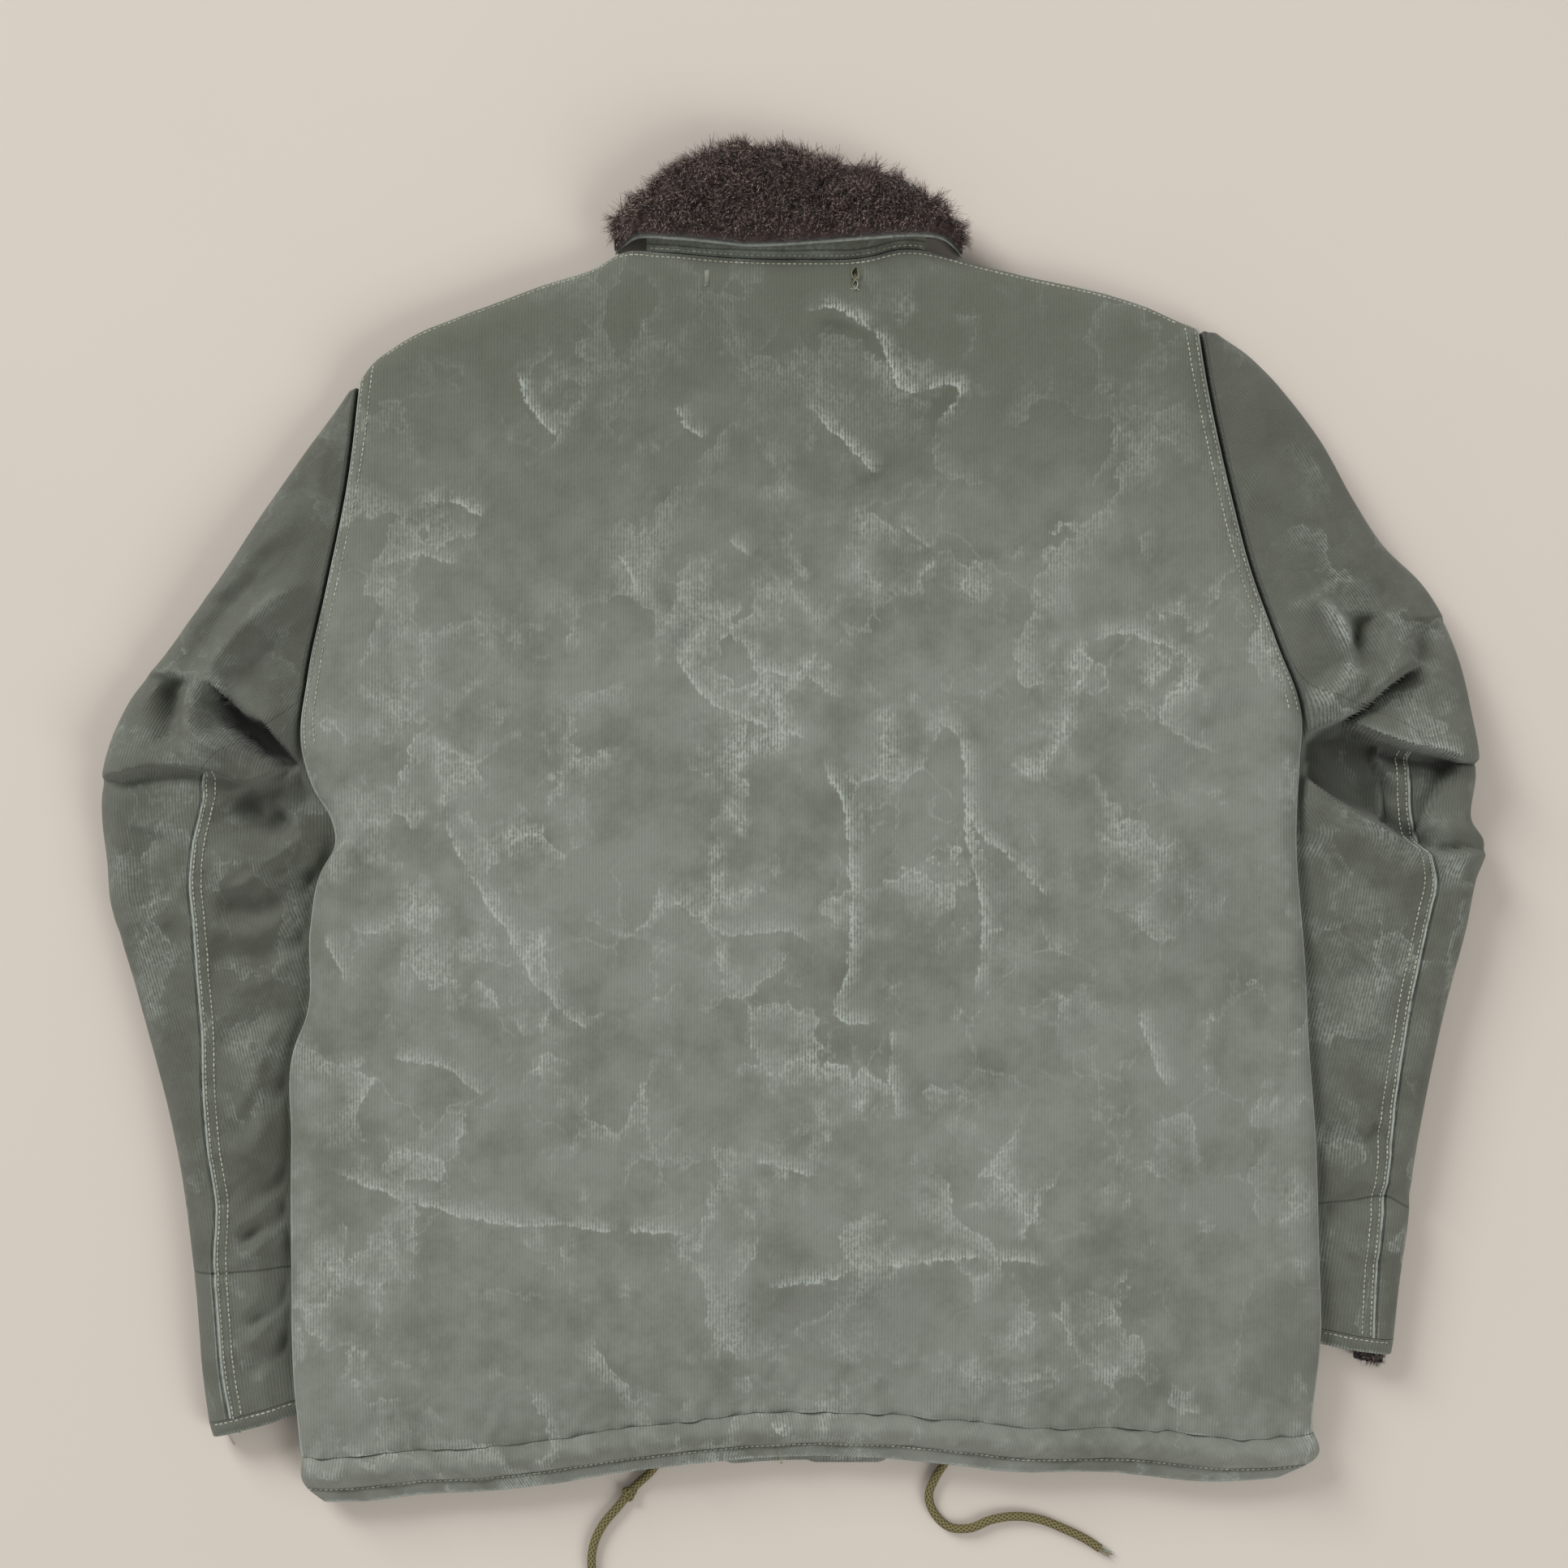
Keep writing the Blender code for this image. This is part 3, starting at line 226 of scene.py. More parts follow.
# Free ends of the drawstring at the hem, from the casing outwards.
RIGHT_CORD_ROUTE = (
    (90.0, -364.4, 5.6), (87.5, -368.5, 4.6), (82.5, -377, 3.0), (78.8, -387.8, 2.7), (82.3, -398, 2.7),
    (90.2, -405.3, 2.7), (101.8, -406.4, 2.7), (115.3, -401.3, 2.7), (128.8, -399.4, 2.7),
    (143.7, -401.3, 2.7), (156.7, -406.4, 2.7), (170.2, -412.9, 2.7), (178.0, -418.0, 2.7))
LEFT_CORD_ROUTE = (
    (-77.6, -366.6, 5.6), (-81.8, -372.4, 4.6), (-91.0, -381.5, 2.9), (-101.5, -394, 2.7),
    (-110.5, -405, 2.7), (-114.9, -414, 2.7), (-116.7, -424, 2.7), (-115.0, -437, 2.7),
    (-108.0, -449, 2.7), (-97.0, -458, 2.7), (-85.0, -463, 2.7), (-73.0, -471, 2.7))


# Finer creases that the solids don't have: lift, how far each side reaches, and the route.
BACK_CREASES = routes("""
1.6 7 -88 291 -80 279 -72 268
-1.5 6 -96 288 -86 272 -82 262
1.8 8 4 295 22 291 40 287 54 272
-1.6 7 12 286 34 279 48 266 58 252
1.4 7 -217 184 -204 187 -194 186
-1.3 9 -226 172 -204 174 -188 170
1.4 8 -106 149 -94 139 -82 128
-1.4 9 -116 140 -98 124 -84 112 -60 100
1.2 8 57 177 68 168 80 158
-1.3 9 46 168 66 154 84 148
1.2 9 -203 28 -200 12 -198 -5
-1.2 9 -212 20 -210 2 -204 -14
1.0 10 -268 -195 -256 -198 -250 -200
-1.2 12 -262 -230 -236 -240 -210 -236
1.1 9 -20 -184 4 -190 16 -198
-1.1 10 -40 -196 -8 -202 20 -210
-1.4 12 130 10 124 -60 110 -120
1.2 10 150 120 168 96 176 60
-1.2 11 190 160 206 120 210 84
1.0 10 -180 120 -168 92 -172 60
1.2 9 160 -246 196 -262 240 -262
-1.2 11 150 -260 190 -276 232 -280
-1.3 13 -60 -120 -30 -160 -34 -196
1.0 10 220 -60 236 -104 230 -150
-1.4 8 -246 96 -232 74 -226 44
1.2 8 256 108 240 84 234 56
-1.6 7 -120 -320 -112 -338 -116 -352
1.2 6 -60 -318 -66 -332 -62 -344
-1.3 7 60 -316 54 -330 58 -342
1.2 7 150 -324 156 -338 150 -350
-1.3 8 214 -320 222 -336 216 -350
""", 2)
LEFT_CREASES = routes("""
4.5 7 -268 140 -286 135 -305 120 -319 106 -329 92 -332 79
6.5 7 -350 92 -345 70 -341 56 -333 50 -319 42 -305 35
-4.0 9 -364 88 -356 72 -350 58
-6.0 8 -333 82 -325 72 -311 60 -302 53 -293 45 -282 33
5.0 4 -313 60 -312 54 -306 46 -302 40
-2.0 5 -398 17 -378 27 -360 29 -342 30 -325 24 -311 21
2.5 6 -300 152 -318 140 -340 128
-2.5 7 -284 168 -304 150 -322 130
2.2 6 -330 10 -316 4 -304 6 -290 18
-3.5 6 -276 -6 -292 -22 -310 -26
3.0 6 -332 -42 -312 -32 -292 -14 -276 -4
-2.6 7 -391 -56 -372 -60 -346 -58
2.4 7 -330 -96 -308 -90 -286 -76
-2.4 8 -358 -104 -344 -120 -342 -146
2.0 7 -296 -128 -312 -150 -316 -176
-2.2 7 -330 -214 -312 -204 -296 -188
-6.5 8 -322 -241 -298 -223 -284 -212
5.0 7 -320 -250 -300 -236 -284 -228
-6.0 9 -318 -222 -292 -196 -282 -186
-5.5 8 -316 -288 -290 -266 -282 -258
-6.0 8 -316 -316 -290 -292 -282 -284
4.0 7 -318 -300 -294 -280 -284 -272
-6.0 12 -326 -184 -300 -156 -284 -138
-3.0 7 -342 -194 -348 -206 -350 -218
-2.0 3 -345 -254 -318 -254 -284 -253
-2.0 8 -288 210 -300 190 -306 170
1.6 7 -262 232 -270 206 -272 184
""", 2)
RIGHT_CREASES = routes("""
4.5 6 291 137 307 122 316 104 317 94 314 85 303 72 294 61
-6.0 7 322 124 322 110 320 98
4.0 10 347 137 330 104 312 76 294 56
-8.0 6 361 101 353 91 338 80 323 68 316 62 292 50
4.0 6 317 62 332 53 347 48 369 44 384 38
-6.0 5 322 51 336 44 350 40 370 37 382 32
4.5 5 289 35 303 22 323 8 338 -1 353 -10 368 -17
-2.6 6 354 116 362 98 360 88
-2.6 7 302 -18 322 -30 342 -40
2.4 7 296 -40 318 -50 346 -60
-2.8 7 306 -90 322 -84 344 -92
2.2 7 312 -120 330 -112 350 -122
-2.2 7 340 -146 334 -170 318 -186
1.8 7 308 -206 326 -200 344 -204
-2.0 6 312 -244 326 -250 344 -246
-2.2 8 268 240 286 214 298 190
1.8 7 256 262 266 240 270 216
2.2 7 300 176 322 150 340 134
-2.2 7 336 168 348 146 352 132
""", 2)
FRONT_CREASES = routes("""
2.2 9 -250 60 -190 20 -140 -40
1.6 8 -230 -120 -160 -150 -90 -140
2.0 10 -200 210 -150 170 -60 160
1.5 8 -170 -240 -120 -290 -110 -330
2.2 9 250 80 200 30 150 -30
1.8 9 240 -90 180 -140 110 -150
2.0 10 190 230 150 180 90 170
1.6 8 230 -230 180 -280 160 -330
""", 2)

# Worn pale marks on the back: strength and the route.
WEAR_MARKS = routes("""
1.0 4 295 30 293 46 281 55 265 62 251 94 251 78 228
0.8 4 242 27 223 50 200
0.7 57 177 80 158
0.8 -157 260 -152 242 -133 223
0.6 -66 242 -64 233 -50 221
0.8 -213 184 -194 186 -175 177
0.7 -101 158 -92 143 -82 130
0.6 -36 167 -17 149 -8 140
0.9 -68 102 -54 79 -22 60 11 53
0.7 -26 93 11 84 29 74
1.0 15 42 29 9 34 -37 32 -74 25 -107 53 -109
0.7 57 -112 55 -140 62 -167
0.9 80 70 97 42 99 -9 108 -46 104 -98
0.8 99 28 104 0 127 -19 146 -42
0.9 -201 16 -189 -19 -166 -51 -147 -84 -129 -107 -106 -126
0.7 -119 -51 -101 -60 -82 -65
0.6 -59 -51 -36 -60 -8 -56 11 -65
0.6 -268 -60 -254 -88
0.8 169 107 183 112 215 102 234 88
0.7 187 74 215 56 243 42
0.7 197 -102 206 -130 215 -149
0.7 -231 -130 -203 -135 -175 -153
0.8 -268 -195 -250 -201 -213 -214 -175 -223 -92 -229 -50 -230
0.8 -22 -188 -8 -193 15 -198
0.9 -22 -265 11 -258 57 -249 99 -246 150 -249
0.7 -271 -246 -254 -256 -226 -260
0.6 94 -312 122 -316 146 -312
0.6 -236 149 -212 156 -190 150
""", 1)
# Larger rubbed patches on the back: strength, centre across and up, and half sizes.
RUBBED_PATCHES = (
    (0.9, -25, 65, 50, 42), (0.8, -157, -70, 48, 62), (0.8, 125, -45, 48, 90), (0.7, -195, -160, 62, 46),
    (0.55, -78, -88, 52, 52), (0.7, 210, 75, 54, 54), (0.6, -142, 240, 26, 32), (0.5, 66, 265, 36, 26),
    (0.5, 50, 100, 48, 52), (0.5, 155, -220, 62, 72), (0.4, -100, -230, 84, 42), (0.5, 20, -30, 48, 84),
    (0.45, 20, -160, 70, 50), (0.4, -200, 60, 46, 60), (0.35, -40, -300, 160, 40),
)

# Camera straight above, and lights as name, place, size and power.
CAMERA_HEIGHT = 1.5
CAMERA_PLACE = (-5.6, 24.8)
PHOTO_WIDTH = 0.8984
LIGHTS = (("window", (-4.4, 4.8, 3.8), 3.4, 435.0), ("fill", (4.4, -3.6, 4.6), 4.0, 225.0))
ROOM_LIGHT = 0.38
SLEEVE_ROWS = (2.6, 7.4)
ARMHOLE_ROWS = (3.2, 8.9)
BOARD_HALF = 3.0
TACK_STEP = 0.75

# Sunken places at the elbows: depth, share of painted shade, width of the edge's slope, and the outline.
LEFT_RECESSES = routes("""
18.0 0.97 4.5 -333 84 -322 74 -312 65 -303 61 -296 53 -281 34 -292 37 -303 40 -313 48 -322 57 -331 71
6.0 0.3 11.0 -330 20 -318 22 -300 31 -280 37 -270 20 -284 -4 -300 -8 -314 2
""", 3)
RIGHT_RECESSES = routes("""
17.0 0.68 9.0 292 52 303 56 316 61 326 56 338 50 338 38 338 20 339 2 323 12 303 25 290 38
8.0 0.0 3.0 335 52 347 48 366 43 382 38 372 26 364 8 358 -8 350 -7 337 3
""", 3)
# Seam across the left wrist, and the sharp fold across the right one.
LEFT_CROSS_SEAM = ((-352, -254), (-330, -254.5), (-308, -253), (-280, -252))
RIGHT_CROSS_SEAM = ((288, -217), (303, -216), (322, -213), (340, -211), (352, -217), (372, -220))
# Rubbed places on the sleeves: strength, centre across and up, and half sizes.
SLEEVE_PATCHES = (
    (0.5, 330, -90, 34, 120), (0.6, -338, 150, 26, 34), (0.6, 322, 120, 22, 34), (0.7, 376, -24, 20, 16),
    (0.5, 300, 205, 20, 40), (0.4, -352, 20, 22, 16), (0.3, -346, -130, 20, 60), (0.4, -376, -40, 14, 60),
    (0.4, 344, -250, 26, 50), (0.5, 366, 40, 24, 20),
)

# Places on the back painted darker, towards the near-black folds colour: strength, centre across and up, and
# half sizes.
DARKENED_PATCHES = (
    (0.32, 11, -284, 80, 30), (0.16, 197, -212, 60, 50), (0.24, -200, 70, 18, 60), (0.14, 230, -60, 24, 80),
)

# Sections between which the sleeves have their elbow folds.
ELBOW_ROWS = (3.5, 11.5)

# Cuts of each sleeve: top sleeve and its area, under sleeve and its area, and round the cuff.
SLEEVE_CUTS = {
    "left": ((0.17, 0.60), 0.082, (0.070, 0.57), 0.034, 0.215),
    "right": ((0.17, 0.60), 0.080, (0.068, 0.57), 0.033, 0.185),
}
STITCHED_PIECES = (
    "back_panel", "hem_band", "hem_band_left", "hem_band_right", "top_sleeve_left", "top_sleeve_right",
    "under_sleeve_left", "under_sleeve_right", "turned_cuff_left", "turned_cuff_right",
    "collar_stand_strip", "collar_pile_backing")
BAR_TACKS = ((-49.0, 309.0, 318.5), (35.0, 309.0, 320.0))
DARK_THREADS = (
    ((-332.0, -342.5, 6.0), (-331.0, -347.0, 1.5), (-327.5, -352.5, 0.6), (-324.0, -358.5, 0.6)),
    ((-330.0, -342.5, 6.0), (-327.5, -346.5, 1.5), (-324.5, -350.0, 0.6), (-320.5, -351.5, 0.6)),
    ((-49.2, 312.0, 27.6), (-48.8, 309.0, 28.8), (-47.2, 306.6, 29.0), (-45.8, 307.6, 28.6),
     (-47.0, 309.4, 27.6)),
)
PALE_THREADS = (
    ((-7.5, -358.0, 19.5), (-7.0, -362.5, 18.0), (-6.2, -366.5, 9.0), (-7.0, -369.0, 1.2)),
    ((35.0, 319.5, 27.4), (33.4, 316.5, 28.8), (34.4, 313.0, 29.2), (36.8, 311.0, 29.2), (35.4, 307.0, 28.8),
     (32.6, 307.4, 28.2)),
    ((36.6, 318.0, 27.6), (37.6, 314.5, 29.0), (35.2, 312.0, 29.4), (34.0, 309.0, 29.0), (37.8, 306.6, 28.4)),
)

def ease(amount):
    """Ease from 0 to 1."""
    amount = np.clip(amount, 0.0, 1.0)
    return amount * amount * (3.0 - 2.0 * amount)


def quarter_round(distance, radius):
    """Height share of a rounded edge, from 0 at the edge to 1 at its radius."""
    share = 1.0 - np.clip(distance / radius, 0.0, 1.0)
    return np.sqrt(1.0 - share * share)


def through(stations, values, at):
    """Smooth curve through a column of values, read at the given stations."""
    stations = np.asarray(stations, float)
    values = np.asarray(values, float)
    slope = np.gradient(values, stations)
    at = np.asarray(at, float)
    start = np.clip(np.searchsorted(stations, at) - 1, 0, len(stations) - 2)
    span = stations[start + 1] - stations[start]
    t = np.clip((at - stations[start]) / span, 0.0, 1.0)
    rise = t * t * (3.0 - 2.0 * t)
    leave = t * (1.0 - t) ** 2 * span * slope[start]
    arrive = t * t * (t - 1.0) * span * slope[start + 1]
    return values[start] * (1.0 - rise) + values[start + 1] * rise + leave + arrive


def column(table, index):
    """One named column of a table."""
    return [row[index] for row in table]


def run_length(points):
    """How far along a line of points each one is."""
    return np.concatenate(([0.0], np.cumsum(np.linalg.norm(np.diff(points, axis=0), axis=1))))


def smooth_route(points, spacing):
    """Points at an even spacing on a smooth curve through a short route."""
    points = np.asarray(points, float)
    along = run_length(points)
    count = max(3, int(round(along[-1] / spacing)) + 1)
    at = np.linspace(0.0, along[-1], count)
    return np.stack([through(along, points[:, axis], at) for axis in range(points.shape[1])], axis=-1)


def route_distance(x, y, route):
    """Signed distance to a route, positive on its left, and the share of its length."""
    place = np.stack([x, y], axis=-1)[..., None, :]
    start = route[:-1]
    step = route[1:] - start
    length = np.linalg.norm(step, axis=1)
    along = np.concatenate(([0.0], np.cumsum(length)))
    t = np.clip(((place - start) * step).sum(-1) / (length * length), 0.0, 1.0)
    offset = place - (start + t[..., None] * step)
    distance = np.linalg.norm(offset, axis=-1)
    nearest = distance.argmin(-1)[..., None]
    side = step[:, 0] * offset[..., 1] - step[:, 1] * offset[..., 0]
    side = np.take_along_axis(side, nearest, -1)[..., 0]
    distance = np.take_along_axis(distance, nearest, -1)[..., 0]
    share = np.take_along_axis(along[:-1] + t * length, nearest, -1)[..., 0] / along[-1]
    return np.where(side >= 0.0, distance, -distance), share


def fold_lift(x, y, folds):
    """Sum of the lifts and hollows that the folds give at each place."""
    total = np.zeros_like(x)
    for lift_left, lift_right, reach_left, reach_right, points in folds:
        distance, share = route_distance(x, y, smooth_route(points, 6.0))
        strength = ease(share / FOLD_TAPER) * ease((1.0 - share) / FOLD_TAPER)
        left = lift_left * (1.0 - ease(np.abs(distance) / reach_left))
        right = lift_right * (1.0 - ease(np.abs(distance) / reach_right))
        mix = ease((distance + FOLD_BLEND) / (2.0 * FOLD_BLEND))
        total += strength * (left * mix + right * (1.0 - mix))
    return total


def body_edges(up, hem_rise):
    """Left and right edges of the body at a share of its height above the casing seam."""
    edges = []
    for table in (LEFT_EDGE, RIGHT_EDGE):
        low = table[0][0] + hem_rise
        edges.append(through(column(table, 0), column(table, 1), low + up * (table[-1][0] - low)))
    return edges


def body_lengthwise(across, up, hem_rise):
    """Place up the jacket between the hem and the top edge, and the top edge itself."""
    hem_y = through(column(HEM_EDGE, 0), column(HEM_EDGE, 1), across) + hem_rise
    top_y = through(column(TOP_EDGE, 0), column(TOP_EDGE, 1), across)
    return hem_y + up * (top_y - hem_y), top_y


def neck_line(x):
    """Place up the jacket of the top edge at a place across."""
    left, right = LEFT_EDGE[-1][1], RIGHT_EDGE[-1][1]
    return through(column(TOP_EDGE, 0), column(TOP_EDGE, 1), (x - left) / (right - left))


def armhole_share(up):
    """1 beside the armholes, 0 along the free sides."""
    return ease((up - 0.64) / 0.05)


def body_top(x, y, left_x, right_x, top_y, up, across):
    """Height of the back's outer face."""
    from_side = np.minimum(x - left_x, right_x - x)
    from_top = top_y - y
    lip = SIDE_LIP + (ARMHOLE_LIP - SIDE_LIP) * armhole_share(up)
    at_neck = ease((0.20 - np.abs(across - 0.5)) / 0.03)
    top_lip = SIDE_LIP + (NECK_LIP - SIDE_LIP) * at_neck
    full = HEM_HEIGHT + (BODY_HEIGHT - HEM_HEIGHT) * ease(up / 0.06)
    full = full + fold_lift(x, y, BACK_FOLDS) * ease(from_side / 30.0)
    side = lip + (full - lip) * quarter_round(from_side, SIDE_ROUND)
    top = top_lip + (full - top_lip) * quarter_round(from_top, SIDE_ROUND)
    return np.minimum(side, top)


def hem_place(across, below):
    """Place on the hem band: share across, and the distance below the casing seam."""
    left_x, right_x = body_edges(0.0, BAND_WIDTH - below)
    return left_x + across * (right_x - left_x), body_lengthwise(across, 0.0, BAND_WIDTH)[0] - below


def hem_under(below):
    """Height of the face where the back's band lies on the fronts' bands."""
    return PLANE - HEM_DROP * ease((below - 4.0) / 18.0)


def front_floor(x):
    """Height of the fronts' outer face: on the floor, and over the zip and its fly."""
    half = FLY_WIDTH / 2.0
    raised = FLY_THICKNESS + ZIP_THICKNESS + 2.0 * SEAM_GAP
    return raised * ease((half + 6.0 - np.abs(x - CENTRE_FRONT)) / 5.0)


def crease_lift(x, y, creases):
    """Sum of the narrow ridges and troughs, soft at their ends and uneven along their length."""
    total = np.zeros_like(x)
    for number, (lift, reach, points) in enumerate(creases):
        route = smooth_route(points, 5.0)
        near = ((x > route[:, 0].min() - reach) & (x < route[:, 0].max() + reach)
                & (y > route[:, 1].min() - reach) & (y < route[:, 1].max() + reach))
        if not near.any():
            continue
        distance, share = route_distance(x[near], y[near], route)
        strength = ease(share / 0.3) * ease((1.0 - share) / 0.3)
        strength *= 0.75 + 0.25 * np.sin(9.0 * share + 2.3 * number)
        total[near] += lift * strength * (1.0 - ease(np.abs(distance) / reach))
    return total


def nearest_mark(x, y, marks):
    """Signed distance to the nearest worn mark, and how strong that mark is at each place."""
    nearest = np.full_like(x, 60.0)
    strength = np.zeros_like(x)
    for amount, points in marks:
        distance, share = route_distance(x, y, smooth_route(points, 6.0))
        ends = ease(share / 0.12) * ease((1.0 - share) / 0.12)
        closer = np.abs(distance) < np.abs(nearest)
        nearest = np.where(closer, distance, nearest)
        strength = np.where(closer, amount * ends, strength)
    return nearest, strength * (1.0 - ease(np.abs(nearest) / 16.0))


def patches(x, y, table):
    """Strength of each patch of a table at each place."""
    for strength, middle_x, middle_y, half_x, half_y in table:
        yield strength * np.exp(-((x - middle_x) / half_x) ** 2 - ((y - middle_y) / half_y) ** 2)


def add_edge(piece, label, signed):
    """Adds the distance in from a lapped edge, as 0.05 m and the distance, so that 0 means none."""
    add_attribute(piece, label, 0.05 + np.clip(signed, -20.0, 20.0) * MM)


def add_attribute(piece, label, values):
    """Adds a number for each of a piece's first points, and 0 for the rest."""
    amounts = np.zeros(len(piece.data.vertices), np.float32)
    amounts[:values.size] = values.ravel()
    layer = piece.data.attributes.new(label, "FLOAT", "POINT")
    layer.data.foreach_set("value", amounts)


def waviness(x, y, size, seed):
    """Smooth random relief from -1 to 1 whose bumps are about one size across."""
    table = np.random.default_rng(seed).uniform(-1.0, 1.0, (64, 64))
    column_at, row_at = x / size + 17.3, y / size + 41.9
    left = np.floor(column_at).astype(int)
    low = np.floor(row_at).astype(int)
    u = ease(column_at - left)
    v = ease(row_at - low)
    corner = [[table[(low + j) % 64, (left + i) % 64] for i in (0, 1)] for j in (0, 1)]
    bottom = corner[0][0] * (1.0 - u) + corner[0][1] * u
    upper = corner[1][0] * (1.0 - u) + corner[1][1] * u
    return bottom * (1.0 - v) + upper * v


def drape(x, y, seed):
    """Slight unevenness of cloth that lies on a lining: broad, middling and small."""
    return (0.8 * waviness(x, y, 62.0, seed) + 0.45 * waviness(x, y, 27.0, seed + 1)
            + 0.2 * waviness(x, y, 11.0, seed + 2))


def dip(distance, half_width):
    """Narrow groove that a row of stitches pulls in, 1 at its middle."""
    return np.exp(-(distance / half_width) ** 2)


def pucker(along, across, seed):
    """Small uneven gathers beside a stitched seam."""
    return waviness(along, across * 0.35, 6.5, seed) + 0.5 * waviness(along, across * 0.5, 3.4, seed + 1)


def spaced(length, cell, fine, reach):
    """Shares from 0 to 1 with close steps near both ends and wider ones between."""
    near = np.arange(0.0, reach, fine)
    middle = np.linspace(reach, length - reach, max(2, int((length - 2.0 * reach) / cell)))
    return np.concatenate((near, middle, length - near[::-1])) / length


def outermost(edge, y, side):
    """Furthest reach of the body's edge near a place up the jacket."""
    reach = [side * through(column(edge, 0), column(edge, 1), y + shift) for shift in NEAR_EDGE]
    return side * np.max(reach, axis=0)


def recess_lift(x, y, recesses):
    """How far each place sinks inside a closed outline, and how much painted shade darkens it there."""
    total = np.zeros_like(x)
    dark = np.zeros_like(x)
    for depth, painted_shade, soft, points in recesses:
        outline = np.concatenate((points, points[:1]))
        inside = np.zeros(x.shape, bool)
        for (x0, y0), (x1, y1) in zip(outline[:-1], outline[1:]):
            crossed = (y0 > y) != (y1 > y)
            inside ^= crossed & (x < x0 + (y - y0) * (x1 - x0) / (y1 - y0 if y1 != y0 else 1.0))
        distance = np.abs(route_distance(x, y, outline)[0])
        share = np.where(inside, ease((distance + 0.5) / soft), 0.0)
        total = np.minimum(total, -depth * share)
        dark = np.maximum(dark, painted_shade * share)
    return total, dark


class Sleeve:
    """Sections of one sleeve: two flattened layers joined round its outer edge."""

    def __init__(self, table, edge, folds, creases, recesses, seam_from, side, cell):
        index = np.arange(len(table))
        elbow_from, elbow_to = ELBOW_ROWS
        rows = np.concatenate((
            np.linspace(0.0, elbow_from, int(28.0 * elbow_from / cell), endpoint=False),
            np.linspace(elbow_from, elbow_to, int(24.0 * (elbow_to - elbow_from) / (0.6 * cell)),
                        endpoint=False),
            np.linspace(elbow_to, len(table) - 1.0, int(32.0 * (len(table) - 1.0 - elbow_to) / cell))))
        inner_y, outer_x, outer_y, height, seam_x = (
            through(index, column(table, place), rows) for place in range(5))
        inner_x = outermost(edge, inner_y, side) - side * TUCK
        self.inner = np.stack([inner_x, inner_y], axis=-1)
        reach = np.stack([outer_x, outer_y], axis=-1) - self.inner
        self.width = np.linalg.norm(reach, axis=1)
        self.along = reach / self.width[:, None]
        self.height = height
        self.round = np.minimum(SLEEVE_EDGE_ROUND, 0.35 * self.width)
        probe = np.linspace(0.0, 40.0, 161)
        plan = self.place(np.broadcast_to(probe, (len(rows), len(probe))))
        beyond = side * (plan[..., 0] - through(column(edge, 0), column(edge, 1), plan[..., 1]))
        self.start = np.minimum(probe[(beyond > LIP_CLEARANCE).argmax(1)], 0.5 * self.width)
        seam = (seam_x - inner_x) / reach[:, 0] * self.width
        self.seam = np.maximum(seam, self.start + HIDDEN_SEAM)
        self.folds = folds
        self.creases = creases
        self.recesses = recesses
        seam_y = self.place(self.seam[:, None])[:, 0, 1]
        self.seam_shown = ease((seam_from - seam_y) / 3.0)[:, None]
        middle = self.place(0.6 * self.width[:, None])[:, 0]
        self.down = run_length(middle)
        self.seed = 11 if side < 0.0 else 31

    def place(self, distance):
        """Plan of the points at a distance out from the inner edge, a row for each section."""
        return self.inner[:, None, :] + distance[..., None] * self.along[:, None, :]

    def plan(self, distance):
        """Places across and up of the points at a distance out from the inner edge."""
        return np.moveaxis(self.place(distance), -1, 0)

    def relief(self, distance):
        """Rise and fall that the folds and creases give, clear of the inner edge."""
        x, y = self.plan(distance)
        lifted = fold_lift(x, y, self.folds) + crease_lift(x, y, self.creases)
        lifted += recess_lift(x, y, self.recesses)[0]
        return lifted * ease((distance - self.start[:, None]) / 6.0)

    def worn(self, distance, from_seam, seed):
        """Wear on crests and along the seam, below 0 where painted shade darkens the hollows."""
        x, y = self.plan(distance)
        lifted = self.relief(distance)
        wear_and_shade = 0.75 * self.seam_shown * edge_wear(from_seam, x, y, seed)
        for patch in patches(x, y, SLEEVE_PATCHES):
            wear_and_shade = np.maximum(wear_and_shade, patch)
        wear_and_shade += 0.45 * ease((lifted - 3.0) / 9.0)
        # Painted shade in the hollows and in the elbow recesses, from how deep they sink.
        hollow_shade = np.maximum(0.62 * ease((-lifted - 2.5) / 11.0), recess_lift(x, y, self.recesses)[1])
        return wear_and_shade * (1.0 - hollow_shade) - hollow_shade

    def top(self, distance):
        """Height of the upper layer's outer face, with its creases and the pull of its seam."""
        x, y = self.plan(distance)
        low = PLANE - SEAM_GAP
        start = self.start[:, None]
        clear = ease((distance - start) / 10.0)
        sewn_in = ease((self.inner[:, 1:] - 45.0) / 40.0)
        beside_seam = 9.5 * sewn_in * ease((distance - start) / 1.7)
        rise = ease((distance - start) / np.minimum(
            SLEEVE_RISE_WIDTH, 0.6 * (self.width[:, None] - start)))
        height = low + beside_seam + (self.height[:, None] - low - beside_seam) * rise
        height += self.relief(distance) + 1.3 * drape(x, y, self.seed) * clear
        from_seam = distance - self.seam[:, None]
        down = self.down[:, None] + 0.0 * distance
        strip = ease((from_seam + 10.0) / 2.0) * ease((1.0 - from_seam) / 2.0)
        sewn = clear * self.seam_shown
        height += sewn * strip * (0.8 + 0.8 * pucker(down, from_seam, self.seed + 5))
        for row, half_width in zip(SLEEVE_ROWS, (0.9, 1.1)):
            height -= sewn * 0.7 * dip(from_seam + row, half_width)
        return np.maximum(height, np.minimum(SLEEVE_LEAST_HEIGHT, low))

    def mark_seams(self, piece, distance, inside):
        """Marks the elbow seam's lapped edge and the seam across the wrist."""
